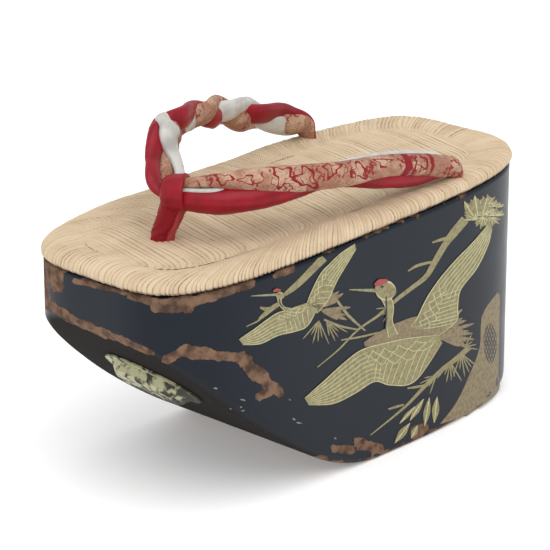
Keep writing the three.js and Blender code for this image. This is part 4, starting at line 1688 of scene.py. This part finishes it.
@dataclass(frozen=True)
class Pine:
    """The old pine at the heel with its branches; all tables are in enlarged pixels."""

    # Edges of the trunk, from the top: x, y
    trunk_left: Rows = ((1140, 415), (1075, 510), (1062, 640), (1022, 745), (965, 862), (893, 955))
    trunk_right: Rows = ((1150, 430), (1146, 520), (1142, 640), (1138, 745), (1132, 830), (1000, 925))
    # Dark net in the bark: x, y, half width, half height, lines each way
    net: tuple = (1106, 625, 28, 84, 7)
    # Branches: rows of x, y, width
    branches: Sequence[Rows] = (
        ((1010, 112, 36), (960, 170, 34), (925, 215, 26), (878, 292, 24), (845, 345, 20), (790, 388, 18),
         (720, 440, 15), (650, 500, 11), (560, 560, 8), (480, 640, 6), (390, 712, 4)),
        ((770, 322, 6), (810, 300, 12), (868, 286, 10)), ((872, 206, 6), (905, 196, 12), (950, 184, 12)),
        ((424, 262, 34), (385, 300, 30), (340, 345, 28), (295, 385, 24), (258, 412, 14)),
        ((240, 446, 16), (205, 468, 20), (168, 498, 16), (150, 512, 5)),
        ((158, 462, 8), (185, 470, 16), (205, 462, 8)),
        ((100, 540, 4), (140, 522, 6), (160, 510, 5)), ((420, 516, 8), (490, 545, 9), (560, 560, 6)),
        ((490, 602, 6), (570, 590, 8), (650, 572, 6)), ((470, 430, 10), (520, 500, 12), (590, 565, 6)),
        ((1020, 640, 22), (960, 690, 20), (900, 735, 18), (830, 800, 15), (745, 885, 10), (605, 995, 4)),
        ((680, 890, 6), (715, 880, 10), (745, 872, 6)), ((760, 805, 6), (800, 800, 10), (840, 792, 8)),
    )
    # Leaves: x and y of the stalk, x and y of the point, width
    leaves: Rows = (
        (882, 842, 868, 950, 30), (850, 845, 828, 962, 28), (826, 850, 768, 938, 26),
        (768, 948, 704, 1030, 30), (800, 958, 772, 1012, 26), (790, 880, 725, 950, 18),
        (1046, 104, 1006, 38, 34), (1062, 98, 1050, 14, 36), (1080, 98, 1102, 22, 32),
    )
    # Needles under the branches: x, y, length, first angle, last angle, count
    needles: Rows = (
        (400, 520, 105, 68, 132, 6), (430, 520, 100, 30, 80, 5), (940, 700, 92, 60, 130, 6),
        (985, 665, 105, 40, 110, 6), (880, 755, 80, 110, 170, 5), (1000, 640, 60, -60, 10, 4),
        (700, 470, 70, 120, 175, 4),
    )
    # Needle pads of the crown: x, y, length, first angle, last angle, count
    pads: Rows = (
        (1050, 112, 56, 175, 310, 11), (1092, 96, 58, 180, 325, 13), (1122, 100, 42, 190, 345, 12),
        (1064, 66, 50, 185, 330, 11), (1106, 52, 44, 190, 345, 11), (1130, 62, 32, 190, 330, 8),
        (1084, 104, 52, 165, 40, 11), (1122, 106, 40, 165, 15, 11), (1096, 78, 40, 120, 20, 7),
        (1152, 100, 28, 190, 340, 8), (1154, 64, 22, 190, 330, 6),
    )
    net_spread: float = 0.85
    net_line: float = 3.6
    net_steps: int = 6
    branch_steps: int = 30
    leaf_steps: int = 14
    # Width of a leaf at its stalk and at its point
    leaf_ends: tuple = (3, 2)
    vein_line: float = 5.0
    vein_steps: int = 8
    needle_line: float = 5.0
    pad_line: float = 9.0
    # Lights on the pads: line, share of the needles' length
    pad_light: tuple = (3.5, 0.8)

    def draw(self, drawing: Drawing) -> None:
        """Paints the tree, each part in its layer.

        Args:
            drawing: What it is painted in.
        """
        drawing.between(self.trunk_left, self.trunk_right, Tint.BROWN, 1)
        x, y, half_width, half_height, count = self.net
        for way in (-1, 1):
            for offset in np.linspace(-self.net_spread, self.net_spread, count):
                reach = math.sqrt(1 - offset**2) * np.linspace(-1, 1, self.net_steps)
                chord = math.sqrt(0.5) * np.column_stack([reach - way * offset, way * reach + offset])
                line = np.array([x, y]) + chord * (half_width, half_height)
                drawing.stroke(line, self.net_line, Tint.DARK, 2)
        for branch in self.branches:
            drawing.ribbon(branch, Tint.OLIVE, 2, steps=self.branch_steps)
        stalk, point = self.leaf_ends
        for x0, y0, x1, y1, width in self.leaves:
            middle = ((x0 + x1) / 2, (y0 + y1) / 2, width)
            drawing.ribbon(((x0, y0, stalk), middle, (x1, y1, point)), Tint.OLIVE, 3, steps=self.leaf_steps)
            vein = np.linspace((x0, y0), (x1, y1), self.vein_steps)
            drawing.stroke(vein, self.vein_line, Tint.PALE, 4)
        drawing.spray(self.needles, self.needle_line, Tint.OLIVE, 1)
        drawing.spray(self.pads, self.pad_line, Tint.OLIVE, 1)
        line, share = self.pad_light
        lights = [(x, y, share * reach, *turns, count // 2) for x, y, reach, *turns, count in self.pads]
        drawing.spray(lights, line, Tint.PALE, 2)


LARGE_CRANE = Crane(
    low=Wing(
        leading=((334, 838), (420, 765), (500, 695), (570, 645), (650, 622), (760, 600), (890, 588)),
        trailing=((350, 866), (450, 862), (540, 822), (624, 774), (690, 790), (790, 775), (905, 620)),
    ),
    high=Wing(
        leading=((1110, 126), (1044, 204), (960, 288), (888, 372), (840, 444), (804, 516), (775, 552)),
        trailing=((1120, 150), (1100, 222), (1052, 316), (986, 400), (972, 470), (966, 530), (892, 590)),
        quills=7,
    ),
    body=((585, 622, 18), (650, 600, 56), (740, 572, 84), (830, 556, 96), (915, 582, 60)),
    neck=((672, 420, 46), (690, 470, 36), (688, 530, 30), (704, 588, 44)),
    throat=((676, 424, 5), (676, 490, 6), (672, 560, 4)),
    head=((630, 392, 12), (650, 396, 64), (680, 402, 84), (704, 408, 56), (716, 412, 12)),
    crown=((630, 378, 12), (652, 366, 26), (682, 360, 12)),
    beak=((524, 394, 4), (580, 397, 10), (636, 400, 16)),
    eye=((654, 384, 4), (660, 384, 10), (666, 384, 4)),
    tail=((880, 588, 165, -16, 26, 10), (900, 560, 120, -40, -8, 5)),
)
SMALL_CRANE = Crane(
    low=Wing(
        leading=((68, 592), (130, 552), (180, 516), (228, 486), (280, 472), (350, 452)),
        trailing=((84, 614), (156, 610), (228, 578), (300, 562), (350, 540), (392, 470)),
        quills=6, vanes=6, bars=2, line=3.0,
    ),
    high=Wing(
        leading=((552, 206), (492, 246), (444, 290), (408, 328), (372, 396), (346, 456)),
        trailing=((556, 228), (516, 290), (480, 348), (462, 384), (432, 444), (390, 490)),
        quills=6, vanes=5, bars=2, line=3.0,
    ),
    body=((275, 478, 14), (320, 470, 30), (370, 462, 36), (410, 470, 20)),
    neck=((236, 424, 20), (240, 448, 14), (254, 466, 14), (280, 476, 20)),
    throat=((236, 426, 3), (238, 446, 4), (250, 462, 3)),
    head=((222, 412, 8), (234, 414, 30), (246, 416, 26), (256, 420, 6)),
    crown=((210, 396, 5), (226, 391, 14), (242, 393, 6)),
    beak=((120, 414, 3), (170, 412, 8), (224, 410, 10)),
    eye=((230, 408, 2), (233, 408, 6), (236, 408, 2)),
    tail=((412, 462, 110, -62, -20, 5), (410, 478, 120, -5, 30, 5)),
)
# Small bruises in the lacquer: x and y of one end, x and y of the other, width, in enlarged pixels
NICKS: Rows = (
    (-38, 790, -22, 793, 6), (70, 838, 92, 844, 6), (68, 872, 78, 870, 6), (24, 876, 34, 878, 5),
    (74, 886, 88, 884, 6), (284, 920, 296, 928, 6), (300, 938, 324, 942, 6), (454, 1004, 464, 1008, 6),
    (270, 842, 280, 846, 5), (166, 1010, 182, 1014, 5),
)
NICK_STEPS = 6


def main() -> None:
    """Builds every piece in order."""
    logging.basicConfig(level=logging.INFO, format="%(name)s %(message)s")
    photo = Photo()
    photo.make_camera()
    Studio().build()
    block = Block(Plan(), photo)
    block.build()
    drawing = Drawing(block)
    Pine().draw(drawing)
    LARGE_CRANE.draw(drawing)
    SMALL_CRANE.draw(drawing)
    for x0, y0, x1, y1, width in NICKS:
        drawing.stroke(np.linspace((x0, y0), (x1, y1), NICK_STEPS), width, Tint.NICK, 2)
    drawing.lay()
    RushMat(block).build()
    Thong().build()
    ToeLoop().build()
    Plate().build()


if __name__ == "__main__":
    main()
